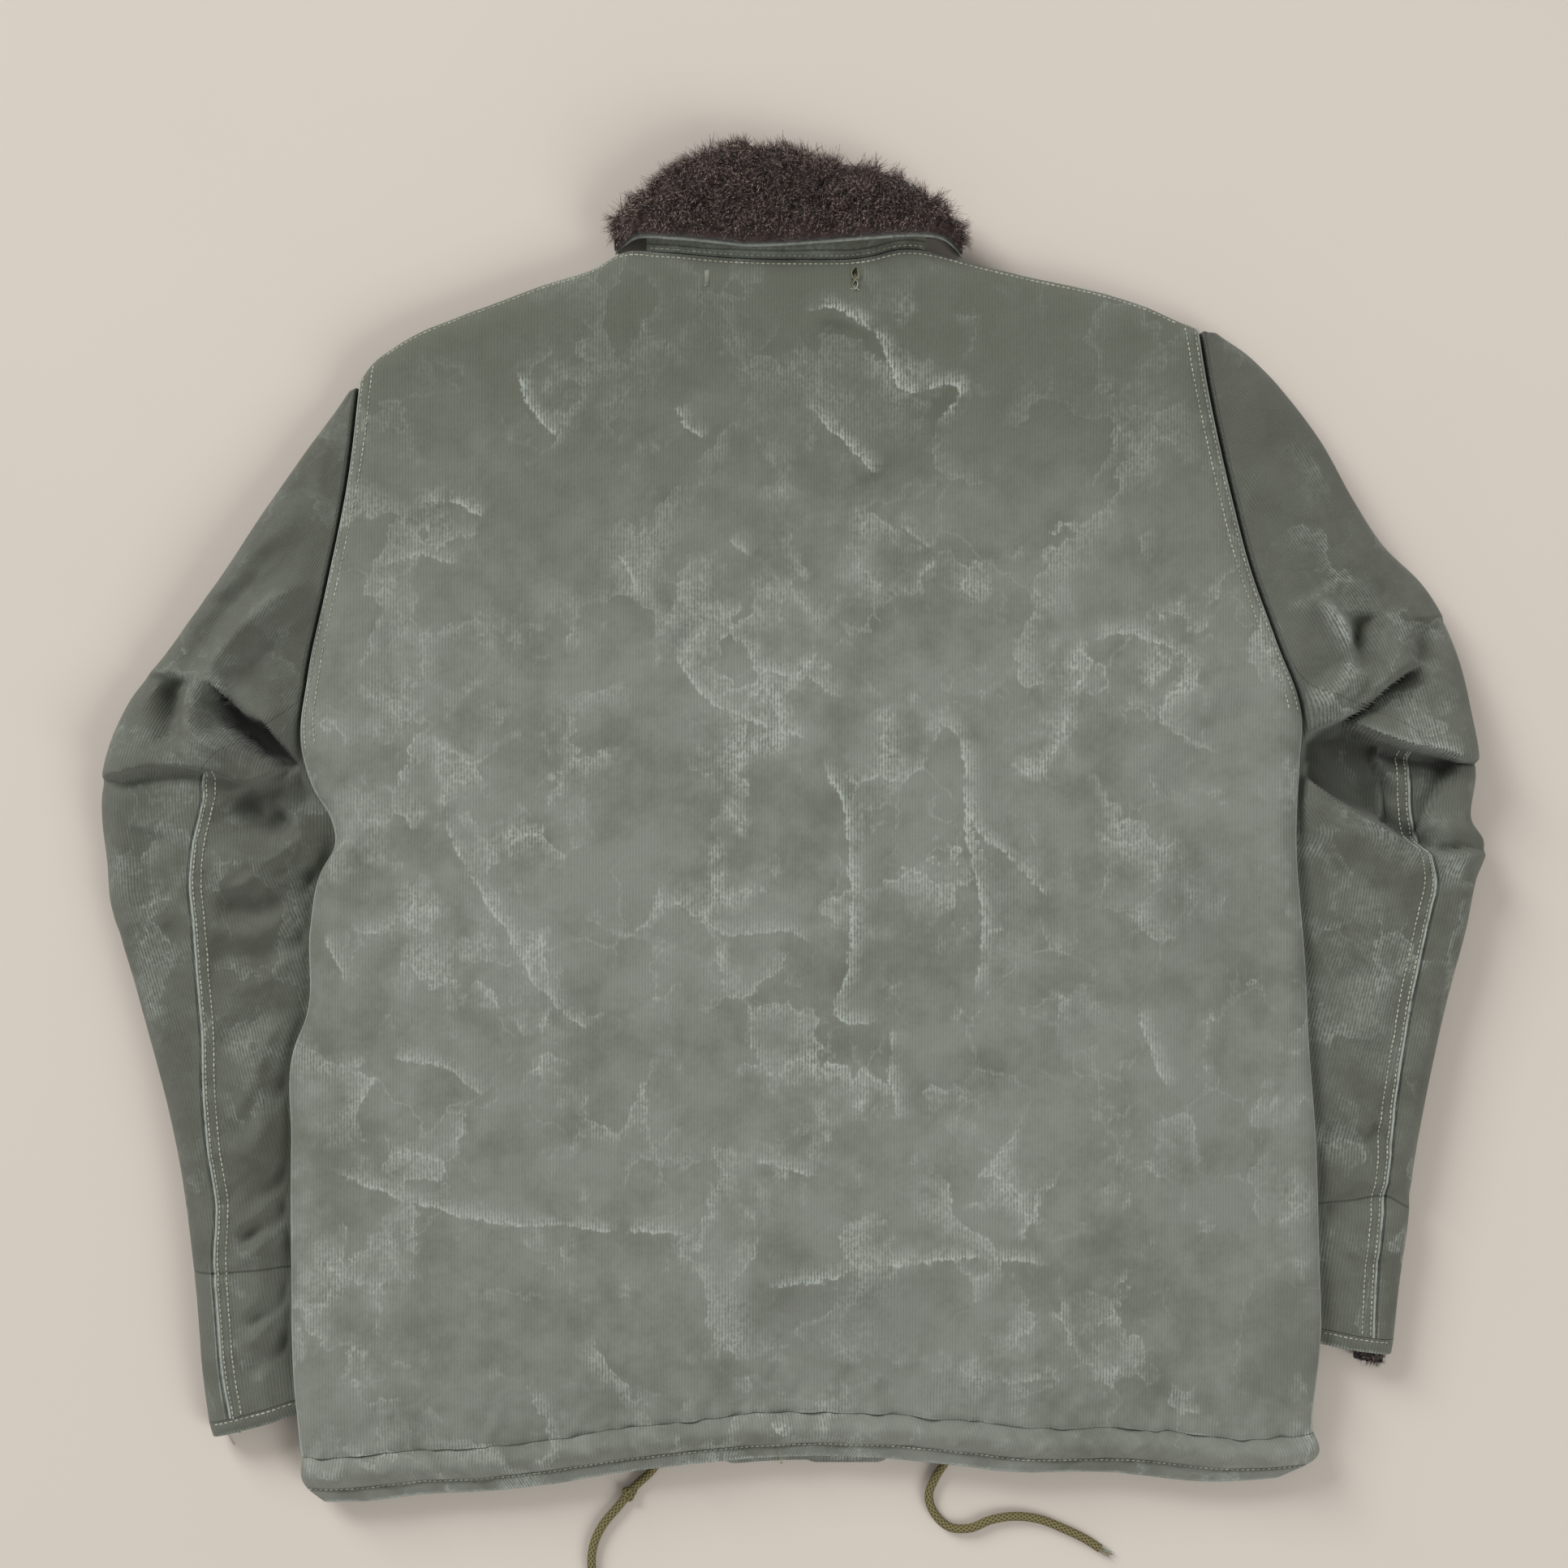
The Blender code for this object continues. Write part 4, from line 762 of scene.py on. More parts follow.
        # These attributes place a pale piping and a painted shadow line at the lapped edge, and a painted
        # dark line of shade along the wrist's seam or fold.
        add_edge(piece, "edge", np.where(self.seam_shown > 0.5, inside, 20.0))
        route = smooth_route(LEFT_CROSS_SEAM if self.seed == 11 else RIGHT_CROSS_SEAM, 4.0)
        add_edge(piece, "cut", route_distance(*self.plan(distance), route)[0])

    def between(self, distance, top):
        """Height where the two layers meet."""
        return np.minimum(SLEEVE_LAYER, 0.5 * top)

    def points(self, distance, height):
        """Points of each section at a distance out and a height."""
        return np.concatenate((self.place(distance), height[..., None]), axis=-1)

    def cloth_places(self, distance):
        """Where each point lies in the flat cloth: across and down the sleeve."""
        return np.stack([self.width[:, None] - distance, self.down[:, None] + 0.0 * distance], axis=-1)

    def inner_columns(self, count):
        """Distances from the inner edge to the elbow seam."""
        share = np.linspace(0.0, 1.0, count) ** 1.35
        start = self.start[:, None]
        beyond = start + (self.seam[:, None] - start) * share
        return np.concatenate((0.0 * start, 0.5 * start, beyond), axis=1)

    def outer_columns(self, count):
        """Distances from the elbow seam to where the outer edge starts to round."""
        share = np.linspace(0.0, 1.0, count)
        end = (self.width - self.round)[:, None]
        return self.seam[:, None] + (end - self.seam[:, None]) * share


def collar_columns(stations):
    """Collar stations across, with the leaf's free edge and the roll's top at each."""
    index = np.arange(len(COLLAR))
    at = np.linspace(0.0, len(COLLAR) - 1.0, stations)
    return (through(index, column(COLLAR, place), at)[:, None] for place in range(3))


def end_droop(x):
    """How the collar's ends come down towards the floor."""
    return 1.0 - 0.30 * ease((np.abs(x + 2.5) - 72.0) / 30.0)


def finished(name, points, faces, cloth_places, wear_and_shade):
    """Mesh object from points in millimetres, with its flat cloth places and its wear, which goes below 0
    where shade is painted.
    """
    mesh = bpy.data.meshes.new(name)
    mesh.from_pydata(moved_metres(points), [], faces)
    mesh.validate()
    corners = np.empty(len(mesh.loops), int)
    mesh.loops.foreach_get("vertex_index", corners)
    layer = mesh.uv_layers.new(name="cloth")
    layer.data.foreach_set("uv", (cloth_places[corners] * MM).astype(np.float32).ravel())
    mesh.shade_smooth()
    mesh.set_sharp_from_angle(angle=np.radians(65.0))
    piece = placed(name, mesh)
    add_attribute(piece, "wear_and_shade", wear_and_shade)
    return piece


def slab(name, x, y, upper, under, wear_and_shade, places=None):
    """Closed piece between two heights over one plan, which is also its flat cloth unless told."""
    return closed_wall(name, np.stack([x, y, upper], -1), np.stack([x, y, under], -1),
                       np.stack(places or (x, y), -1), wear_and_shade)


def closed_wall(name, outer, inner, cloth_places, wear_and_shade, ring=False):
    """One closed body between two grids of points, with its border joined up."""
    rows, columns = outer.shape[:2]
    count = rows * columns
    last = columns if ring else columns - 1
    row, col = np.meshgrid(np.arange(rows - 1), np.arange(last), indexing="ij")
    a = (row * columns + col).ravel()
    b = (row * columns + (col + 1) % columns).ravel()
    c = b + columns
    d = a + columns
    faces = [np.stack([a, b, c, d], -1), np.stack([a, d, c, b], -1) + count]
    end = np.arange(last)
    after = (end + 1) % columns
    top = (rows - 1) * columns
    faces.append(np.stack([after, end, end + count, after + count], -1))
    faces.append(np.stack([top + end, top + after, top + after + count, top + end + count], -1))
    if not ring:
        start = np.arange(rows - 1) * columns
        faces.append(np.stack([start, start + columns, start + columns + count, start + count], -1))
        start = start + columns - 1
        faces.append(np.stack([start + columns, start, start + count, start + columns + count], -1))
    faces = np.concatenate(faces)
    points = np.concatenate((outer.reshape(-1, 3), inner.reshape(-1, 3)))
    corner = points[faces]
    volume = np.sum(np.cross(corner[:, 0] - corner[:, 2], corner[:, 1] - corner[:, 3])
                    * corner.mean(1))
    if volume < 0.0:
        faces = faces[:, ::-1]
    places = np.concatenate([cloth_places.reshape(-1, 2)] * 2)
    return finished(name, points, faces.tolist(), places, wear_and_shade)


def lidded_wall(name, outer, floor_height, cloth_places, wear_and_shade):
    """Closed body under a fine grid whose underside is flat, in larger faces."""
    rows, columns = outer.shape[:2]
    loop = np.concatenate((np.arange(columns), np.arange(1, rows) * columns + columns - 1,
                           (rows - 1) * columns + np.arange(columns - 2, -1, -1),
                           np.arange(rows - 2, 0, -1) * columns))
    points = outer.reshape(-1, 3)
    rim = points[loop, :2]
    inside = outer[8:-8:14, 8:-8:14, :2].reshape(-1, 2)
    border = [(i, (i + 1) % len(loop)) for i in range(len(loop))]
    flat = [Vector(place) for place in np.concatenate((rim, inside)).tolist()]
    placed, _, lids, origin, _, _ = delaunay_2d_cdt(flat, border, [], 1, 1e-5)
    under = np.array([(*place, floor_height) for place in placed])
    where = {source[0]: index for index, source in enumerate(origin) if source}
    count = len(points)
    grid = np.arange(count).reshape(rows, columns)
    faces = np.stack([grid[:-1, :-1], grid[:-1, 1:], grid[1:, 1:], grid[1:, :-1]], -1).reshape(-1, 4)
    area = np.cross(points[faces[:, 2], :2] - points[faces[:, 0], :2],
                    points[faces[:, 3], :2] - points[faces[:, 1], :2]).sum()
    rising = area > 0.0
    faces = (faces if rising else faces[:, ::-1]).tolist()
    for lid in lids:
        a, b, c = (Vector(under[corner]) for corner in lid)
        downwards = (b - a).cross(c - a).z < 0.0
        faces.append([count + corner for corner in (lid if downwards else lid[::-1])])
    for i in range(len(loop)):
        j = (i + 1) % len(loop)
        wall = [loop[i], count + where[i], count + where[j], loop[j]]
        faces.append(wall if rising else wall[::-1])
    places = np.concatenate((cloth_places.reshape(-1, 2), under[:, :2]))
    return finished(name, np.concatenate((points, under)), faces, places, wear_and_shade)


def linear(code):
    """Linear colour of an sRGB hex value."""
    shares = [int(code[start:start + 2], 16) / 255.0 for start in (0, 2, 4)]
    return [s / 12.92 if s <= 0.04045 else ((s + 0.055) / 1.055) ** 2.4 for s in shares]


TIMES = {"operation": "MULTIPLY"}
PLUS = {"operation": "ADD"}
MINUS = {"operation": "SUBTRACT"}
MOST = {"operation": "MAXIMUM"}
LEAST = {"operation": "MINIMUM"}
SIZE = {"operation": "ABSOLUTE"}
EASED = {"interpolation_type": "SMOOTHSTEP"}
COLOURS = {"data_type": "RGBA", "out": 2}
BANDS = {"wave_type": "BANDS", "bands_direction": "X", "out": "Fac"}


def add(tree, kind, inputs=(), out=0, **settings):
    """Adds a node, feeds its inputs by place or name with values or links, and gives one output."""
    node = tree.nodes.new(kind if "Node" in kind else "ShaderNode" + kind)
    for key, value in settings.items():
        setattr(node, key, value)
    for key, item in inputs.items() if isinstance(inputs, dict) else enumerate(inputs):
        if isinstance(item, bpy.types.NodeSocket):
            tree.links.new(item, node.inputs[key])
        else:
            node.inputs[key].default_value = item
    return node.outputs[out] if len(node.outputs) else node


def new_material(name, values):
    """Material with its shader's own values, and the IOR of cotton or wool fibre."""
    material = bpy.data.materials.new(name)
    material.use_nodes = True
    shader = material.node_tree.nodes["Principled BSDF"]
    for key, value in {"IOR": 1.5, **values}.items():
        shader.inputs[key].default_value = value
    return material, material.node_tree, shader


def cord_cloth(name, dark, faded, upper_tone, groove, folds, rubbed, rib, groove_share, veining, seed):
    """Cotton cord cloth, woven in fine warp ribs and washed pale where it rubs.

    To the eye it is matt and dry, with close parallel lines, cloudy patches where the ribs' tops
    have lost their dye, thin broken pale veins where it has creased, and painted shade in its folds,
    its hollows and the dark lines beside its lapped edges and along its seams.
    """
    material, tree, shader = new_material(name, {
        "Roughness": 0.93, "Specular IOR Level": 0.2, "Sheen Weight": 0.12, "Sheen Roughness": 0.6})
    place = add(tree, "TexCoord", out="Object")
    flat = add(tree, "UVMap", out="UV", uv_map="cloth")
    worn, mark, mark_share, edge, cut = (
        add(tree, "Attribute", out="Fac", attribute_name=label)
        for label in ("wear_and_shade", "mark", "mark_share", "edge", "cut"))

    def cloudy(source, scale, detail, roughness=0.6, stretch=(1.0, 1.0, 1.0), shift=0.0):
        moved = add(tree, "Mapping", {"Vector": source, "Scale": stretch,
                                      "Location": (seed + shift, 2.0 * seed, shift)})
        return add(tree, "TexNoise", {"Vector": moved, "Scale": scale, "Detail": detail,
                                      "Roughness": roughness})

    def total(*terms):
        result = None
        for weight, source in terms:
            part = add(tree, "Math", (source, weight), **TIMES)
            result = part if result is None else add(tree, "Math", (result, part), **PLUS)
        return result

    def line_at(signed, place_in, soft, fade):
        """Thin line that a signed distance draws at one place."""
        off = add(tree, "Math", (add(tree, "Math", (signed, place_in), **MINUS), 0.0), **SIZE)
        return add(tree, "MapRange", (off, fade, soft), **EASED)

    def wisp(signed, width, fade):
        """Rubbed place with a crisp pale side where the cloth creased and a side that fades."""
        off = add(tree, "MapRange", (signed, fade, 0.0), **EASED)
        off = add(tree, "Math", (off, 1.5), operation="POWER")
        near = add(tree, "MapRange", (signed, -width, 0.0), **EASED)
        body = add(tree, "Math", (add(tree, "Math", (near, off), **TIMES), grainy), **TIMES)
        line = add(tree, "MapRange", (add(tree, "Math", (signed, 0.0), **SIZE), 1.6 * width, 0.0), **EASED)
        broken = add(tree, "MapRange", (grainy, 0.0, 0.5), **EASED)
        return total((1.05, body), (0.55, add(tree, "Math", (line, broken), **TIMES)))

    def vein(scale, width, fade, shift):
        """Net of angular creases, crisp on each line and fading over some of the fields between."""
        push = add(tree, "TexNoise", {"Vector": place, "Scale": 2.2 * scale, "Detail": 4.0,
                                      "Roughness": 0.55}, "Color")
        pushed = add(tree, "VectorMath", (push, (0.75 / scale,) * 3, place), operation="MULTIPLY_ADD")
        pushed = {"Scale": scale, "Vector": add(tree, "Mapping", {
            "Vector": pushed, "Location": (shift, shift, 0.0), "Scale": (1.0, 0.75, 1.0)})}
        from_line = add(tree, "TexVoronoi", pushed, "Distance", feature="DISTANCE_TO_EDGE")
        field = add(tree, "TexVoronoi", pushed, "Color", feature="F1")
        body = add(tree, "MapRange", (from_line, fade, 0.0), **EASED)
        body = add(tree, "Math", (body, 1.7), operation="POWER")
        body = add(tree, "Math", (body, grainy), **TIMES)
        body = add(tree, "Math", (body, add(tree, "MapRange", (field, 0.42, 0.62), **EASED)), **TIMES)
        line = add(tree, "Math", (add(tree, "MapRange", (from_line, width, 0.0), **EASED),
                                  add(tree, "MapRange", (grainy, 0.0, 0.6), **EASED)), **TIMES)
        shown = cloudy(place, 20.0, 4.0, shift=shift + 9.0)
        return add(tree, "Math", (total((1.1, body), (0.45, line)),
                                  add(tree, "MapRange", (shown, 0.47, 0.60), **EASED)), **TIMES)

    # The real ribs are 1.5 mm apart; they are drawn at rib so that they still show.
    ribs = add(tree, "TexWave", {"Vector": flat, "Scale": 2.0 * np.pi / 20.0 / rib, "Distortion": 1.1,
                                 "Detail": 2.0, "Detail Scale": 1.4}, **BANDS)
    streaks = cloudy(flat, 900.0, 2.0, 0.6, (1.0, 0.10, 1.0))
    grain = cloudy(flat, 1500.0, 1.0)
    cloud = cloudy(place, 9.0, 3.0, 0.62)
    patch = cloudy(place, 30.0, 4.0, 0.68)
    speck = cloudy(place, 380.0, 3.0, 0.7)

    high = add(tree, "SeparateXYZ", (place,), "Y")
    upper = add(tree, "MapRange", (total((1.0, high), (0.30, cloud)), 0.24, 0.44), **EASED)
    tone = add(tree, "MapRange", (total((0.6, patch), (0.4, cloud)), 0.32, 0.62), **EASED)
    colour = add(tree, "Mix", {0: tone, 6: dark, 7: faded}, **COLOURS)
    colour = add(tree, "Mix", {0: total((0.8, upper)), 6: colour, 7: upper_tone}, **COLOURS)
    low = add(tree, "MapRange", (ribs, 0.55, 0.0), **EASED)
    colour = add(tree, "Mix", {0: total((groove_share, low)), 6: colour, 7: groove}, **COLOURS)

    pale = add(tree, "Math", (worn, 0.0), **MOST)
    grainy = add(tree, "MapRange", (total((0.62, speck), (0.20, streaks), (0.18, ribs)), 0.36, 0.62), **EASED)
    veins = add(tree, "Math", (vein(13.0, 0.02, 0.34, 1.0), vein(31.0, 0.045, 0.40, 4.0)), **MOST)
    lower = add(tree, "Math", (1.0, total((0.7, upper))), **MINUS)
    held = total((0.55 * veining, lower), (0.9 * veining, add(tree, "Math", (pale, 1.0), **LEAST)))
    veins = add(tree, "Math", (veins, held), **TIMES)
    off_line = total((1.0, mark), (0.016, patch), (0.004, speck), (-0.010, 1.0))
    line = add(tree, "Math", (wisp(off_line, 0.0012, 0.017), mark_share), **TIMES)
    gaps = total((0.6, cloudy(place, 60.0, 3.0, shift=3.0)), (0.4, patch))
    line = add(tree, "Math", (line, add(tree, "MapRange", (gaps, 0.34, 0.54), **EASED)), **TIMES)
    open_to = add(tree, "MapRange", (total((0.75, pale), (0.5, patch)), 0.42, 1.1), **EASED)
    rubs = add(tree, "Math", (grainy, open_to), **TIMES)
    bare = total((0.75, add(tree, "MapRange", (pale, 0.8, 1.4), **EASED)))
    rubs = add(tree, "Math", (rubs, bare), **MOST)
    bloom = add(tree, "Math", (rubs, add(tree, "Math", (veins, line), **MOST)), **MOST)
    bloom = add(tree, "Math", (bloom, 1.0), **LEAST)
    lint = add(tree, "MapRange", (grain, 0.35, 0.75), **EASED)
    # The lapped edge has a pale piping inside it and a painted shadow line just outside it; the wrist's seam,
    # the right wrist's fold and the neck seam get a painted dark line of shade.
    off_edge = add(tree, "Math", (edge, 0.05), **MINUS)
    rough = add(tree, "MapRange", (total((0.6, patch), (0.4, speck)), 0.30, 0.52), **EASED)
    piped = add(tree, "Math", (line_at(off_edge, 0.0007, 0.0003, 0.0010), rough), **TIMES)
    for share, source in ((0.9, bloom), (0.08, lint), (0.75, piped)):
        colour = add(tree, "Mix", {0: total((share, source)), 6: colour, 7: rubbed}, **COLOURS)
    # Painted shade: a shadow line just outside the lapped edge, a dark line along the cut, and the hollows
    # whose attribute goes below 0, all mixed towards the near-black folds colour.
    edge_shadow = total((0.7, line_at(off_edge, -0.0007, 0.0003, 0.0011)))
    crossed = total((0.5, line_at(cut, 0.05, 0.0002, 0.0010)))
    painted_shade = total((-1.0, add(tree, "Math", (worn, 0.0), **LEAST)))
    painted_shade = add(tree, "Math", (painted_shade, add(tree, "Math", (edge_shadow, crossed), **PLUS)), **MOST)
    colour = add(tree, "Mix", {0: painted_shade, 6: colour, 7: folds}, **COLOURS)
    tree.links.new(colour, shader.inputs["Base Color"])

    height = total((0.6, ribs), (0.4, grain), (0.45, streaks))
    near = add(tree, "Bump", {"Strength": 0.55, "Distance": 0.0005, "Height": height})
    far = add(tree, "Bump", {"Strength": 0.45, "Distance": 0.003, "Height": cloudy(place, 60.0, 3.0, 0.6),
                             "Normal": near})
    tree.links.new(far, shader.inputs["Normal"])
    return material


def pile_fur(name, dark, middle, pale):
    """Wool pile knitted into a backing and brushed: dark at the root, greyer towards its tips, with painted
    shade where its face lies low.
    """
    material, tree, shader = new_material(name, {"Roughness": 0.75, "Specular IOR Level": 0.25,
                                                 "Sheen Weight": 0.25})
    place = add(tree, "TexCoord", out="Object")
    tip, open_face = (add(tree, "Attribute", out="Fac", attribute_name=label) for label in ("tip", "wear_and_shade"))
    lock = add(tree, "TexNoise", {"Vector": place, "Scale": 210.0, "Detail": 3.0, "Roughness": 0.7})
    patch = add(tree, "TexNoise", {"Vector": place, "Scale": 45.0, "Detail": 2.0})
    strand = add(tree, "TexNoise", {"Vector": place, "Scale": 620.0, "Detail": 1.0})
    share = add(tree, "MapRange", (lock, 0.3, 0.7), **EASED)
    body = add(tree, "Mix", {0: share, 6: dark, 7: middle}, **COLOURS)
    picked = add(tree, "Math", (add(tree, "MapRange", (strand, 0.55, 0.61), **EASED),
                                add(tree, "MapRange", (patch, 0.1, 0.5), **EASED)), **TIMES)
    amount = add(tree, "Math", (add(tree, "MapRange", (tip, 0.0, 0.6), **EASED), picked), **TIMES)
    colour = add(tree, "Mix", {0: amount, 6: body, 7: pale}, **COLOURS)
    # Painted shade: low down by the floor, on the cuff's backing and at the cuff locks' roots, the colour
    # goes to a near-black quarter of the roots' colour.
    unshaded_share = add(tree, "Math", (open_face, add(tree, "MapRange", (tip, 0.0, 0.1), **EASED)), **MOST)
    backing = (*(0.25 * share for share in dark[:3]), 1.0)
    tree.links.new(add(tree, "Mix", {0: unshaded_share, 6: backing, 7: colour}, **COLOURS), shader.inputs["Base Color"])
    bump = add(tree, "Bump", {"Strength": 0.8, "Distance": 0.002, "Height": lock})
    tree.links.new(bump, shader.inputs["Normal"])
    return material


def spun_thread(name, dark, pale):
    """Cotton sewing thread, spun and mercerised: a faint gloss and a faded top."""
    material, tree, shader = new_material(name, {"Roughness": 0.7, "Specular IOR Level": 0.35})
    place = add(tree, "TexCoord", out="Object")
    worn = add(tree, "TexNoise", {"Vector": place, "Scale": 160.0, "Detail": 2.0})
    share = add(tree, "MapRange", (worn, 0.35, 0.65), **EASED)
    tree.links.new(add(tree, "Mix", {0: share, 6: dark, 7: pale}, **COLOURS), shader.inputs["Base Color"])
    return material


def braided_cotton(name, dark, pale):
    """Cotton drawstring, braided over a core: slanting strands 1.9 mm apart, with painted shade in the gaps
    between them.
    """
    material, tree, shader = new_material(name, {"Roughness": 0.85, "Specular IOR Level": 0.25})
    flat = add(tree, "UVMap", out="UV", uv_map="cloth")
    strands = []
    for turn in (0.62, -0.62):
        turned = add(tree, "Mapping", {"Vector": flat, "Rotation": (0.0, 0.0, turn)})
        strands.append(add(tree, "TexWave", {"Vector": turned, "Scale": 2.0 * np.pi / 20.0 / (1.9 * MM),
                                             "Distortion": 0.4}, **BANDS))
    fuzz = add(tree, "TexNoise", {"Vector": flat, "Scale": 900.0, "Detail": 3.0})
    share = add(tree, "Math", (add(tree, "Math", (add(tree, "Math", strands, **MOST), 0.75), **TIMES),
                               add(tree, "Math", (fuzz, 0.4), **TIMES)), **PLUS)
    tone = add(tree, "MapRange", (share, 0.25, 1.0), **EASED)
    tree.links.new(add(tree, "Mix", {0: tone, 6: dark, 7: pale}, **COLOURS), shader.inputs["Base Color"])
    bump = add(tree, "Bump", {"Strength": 0.8, "Distance": 0.0006, "Height": share})
    tree.links.new(bump, shader.inputs["Normal"])
    return material


def plain_board(name, colour):
    """Pale painted board under the jacket, matt and even, with a faint unevenness of its coat."""
    material, tree, shader = new_material(name, {"Roughness": 0.95})
    coat = add(tree, "TexNoise", {"Vector": add(tree, "TexCoord", out="Object"), "Scale": 5.0, "Detail": 3.0})
    darker = (*(0.96 * share for share in colour[:3]), 1.0)
    tree.links.new(add(tree, "Mix", {0: coat, 6: darker, 7: colour}, **COLOURS), shader.inputs["Base Color"])
    return material


# Finishes: which function makes each, from which colours, and its own numbers.
FINISHES = {
    "cotton_cord_cloth_woven": (cord_cloth, ("cloth", "cloth_faded", "cloth_upper", "cloth_groove",
                                             "fold_shade_and_dark_thread", "cloth_rubbed"), (0.14, 1.0, 3.0)),
    "cotton_cord_sleeve_cloth_woven": (cord_cloth, ("sleeve", "sleeve_faded", "sleeve", "cloth_groove",
                                                    "fold_shade_and_dark_thread", "cloth_rubbed"), (0.40, 0.5, 8.0)),
    "wool_pile_brushed": (pile_fur, ("pile_root", "pile", "pile_tip"), ()),
    "cotton_thread_spun": (spun_thread, ("thread", "thread_faded"), ()),
    "cotton_thread_unpicked": (spun_thread, ("fold_shade_and_dark_thread", "thread"), ()),
    "cotton_strands_frayed": (spun_thread, ("cord", "cloth_rubbed"), ()),
    "cotton_cord_braided": (braided_cotton, ("cord_gap_shade", "cord"), ()),
    "painted_board": (plain_board, ("board",), ()),
}


def finish(name):
    """Material of a finish, made the first time it is asked for."""
    if name not in bpy.data.materials:
        make, keys, numbers = FINISHES[name]
        chosen = [(*getattr(bpy.context.scene.jacket_colours, key), 1.0) for key in keys]
        rib = (bpy.context.scene.jacket_sizes.rib,) if make is cord_cloth else ()
        make(name, *chosen, *rib, *numbers)
    return bpy.data.materials[name]


def placed(name, data):
    """Object at the origin of the scene, from a mesh, a curve, a camera or a light."""
    piece = bpy.data.objects.new(name, data)
    bpy.context.scene.collection.objects.link(piece)
    return piece


def repeat_tree(name, sizes):
    """Geometry Nodes tree with named inputs: its sizes, the shape to repeat and its material."""
    tree = bpy.data.node_groups.new(name, "GeometryNodeTree")
    sockets = [("Geometry", "Geometry")]
    sockets += [(label, "Int" if isinstance(value, int) else "Float") for label, value in sizes.items()]
    for label, kind in (*sockets, ("Shape", "Object"), ("Material", "Material")):
        socket = tree.interface.new_socket(label, in_out="INPUT", socket_type="NodeSocket" + kind)
        if label in sizes:
            socket.default_value = sizes[label]
    tree.interface.new_socket("Geometry", in_out="OUTPUT", socket_type="NodeSocketGeometry")
    return tree, add(tree, "NodeGroupInput").node.outputs


def repeated(tree, start, points, rotation, about, scale):
    """Puts the shape on every point, turned about itself, and gives the result its material."""
    turned = add(tree, "FunctionNodeRotateRotation", {
        "Rotation": rotation, "Rotate By": add(tree, "CombineXYZ", {"Z": about})}, rotation_space="LOCAL")
    shape = add(tree, "GeometryNodeObjectInfo", {"Object": start["Shape"], "As Instance": True}, "Geometry")
    copies = add(tree, "GeometryNodeInstanceOnPoints", {"Points": points, "Instance": shape,
                                                        "Rotation": turned, "Scale": scale})
    real = add(tree, "GeometryNodeRealizeInstances", (copies,))
    dressed = add(tree, "GeometryNodeSetMaterial", {"Geometry": real, "Material": start["Material"]})
    add(tree, "NodeGroupOutput", (dressed,))
    return tree


def stitch_tree(sizes):
    """Stitches along every line of a curve, at a pitch, each a little out of true."""
    tree, start = repeat_tree("sewn_stitches", sizes)
    points = add(tree, "GeometryNodeCurveToPoints", {"Curve": start["Geometry"], "Length": start["Pitch"]},
                 "Points", mode="LENGTH")
    low = add(tree, "Math", (start["Wander"], -1.0), **TIMES)
    about = add(tree, "FunctionNodeRandomValue", {2: low, 3: start["Wander"], "Seed": start["Seed"]}, 1,
                data_type="FLOAT")
    length = add(tree, "FunctionNodeRandomValue", {2: 0.86, 3: 1.08, "Seed": start["Seed"]}, 1,
                 data_type="FLOAT")
    return repeated(tree, start, points, points.node.outputs["Rotation"], about, length)


def pile_tree(sizes):
    """Locks of pile over a face, leaning the same way as their neighbours."""
    tree, start = repeat_tree("brushed_pile", sizes)
    share = add(tree, "GeometryNodeInputNamedAttribute", {"Name": "pile"}, "Attribute", data_type="FLOAT")
    dense = add(tree, "Math", (share, start["Density"]), **TIMES)
    roots = add(tree, "GeometryNodeDistributePointsOnFaces",
                {"Mesh": start["Geometry"], "Density": dense, "Seed": start["Seed"]}, "Points",
                distribute_method="RANDOM")
    swirl = add(tree, "TexNoise", {"Vector": add(tree, "GeometryNodeInputPosition"), "Scale": 62.0,
                                   "Detail": 2.0, "Roughness": 0.6}, "Color")
    centred = add(tree, "VectorMath", (swirl, (0.5, 0.5, 0.5)), **MINUS)
    jumble = add(tree, "FunctionNodeRandomValue",
                 {0: (-0.5, -0.5, -0.5), 1: (0.5, 0.5, 0.5), "Seed": start["Seed"]}, data_type="FLOAT_VECTOR")
    loose = add(tree, "VectorMath", {0: jumble, "Scale": 0.55}, operation="SCALE")
    swept = add(tree, "VectorMath", {0: centred, "Scale": 5.0}, operation="SCALE")
    lean = add(tree, "VectorMath", (loose, swept), **PLUS)
    lean = add(tree, "VectorMath", (lean, (0.0, -0.35, 0.0)), **PLUS)
    lean = add(tree, "VectorMath", {0: lean, "Scale": start["Lean"]}, operation="SCALE")
    aim = add(tree, "VectorMath", (lean, roots.node.outputs["Normal"]), **PLUS)
    stand = add(tree, "FunctionNodeAlignRotationToVector", {"Vector": aim}, axis="Z")
    spin = add(tree, "FunctionNodeRandomValue", {2: -3.1, 3: 3.1, "Seed": start["Seed"]}, 1,
               data_type="FLOAT")
    low = add(tree, "Math", (start["Length"], 0.55), **TIMES)
    tall = add(tree, "FunctionNodeRandomValue", {2: low, 3: start["Length"], "Seed": start["Seed"]}, 1,
               data_type="FLOAT")
    return repeated(tree, start, roots, stand, spin, add(tree, "Math", (tall, share), **TIMES))


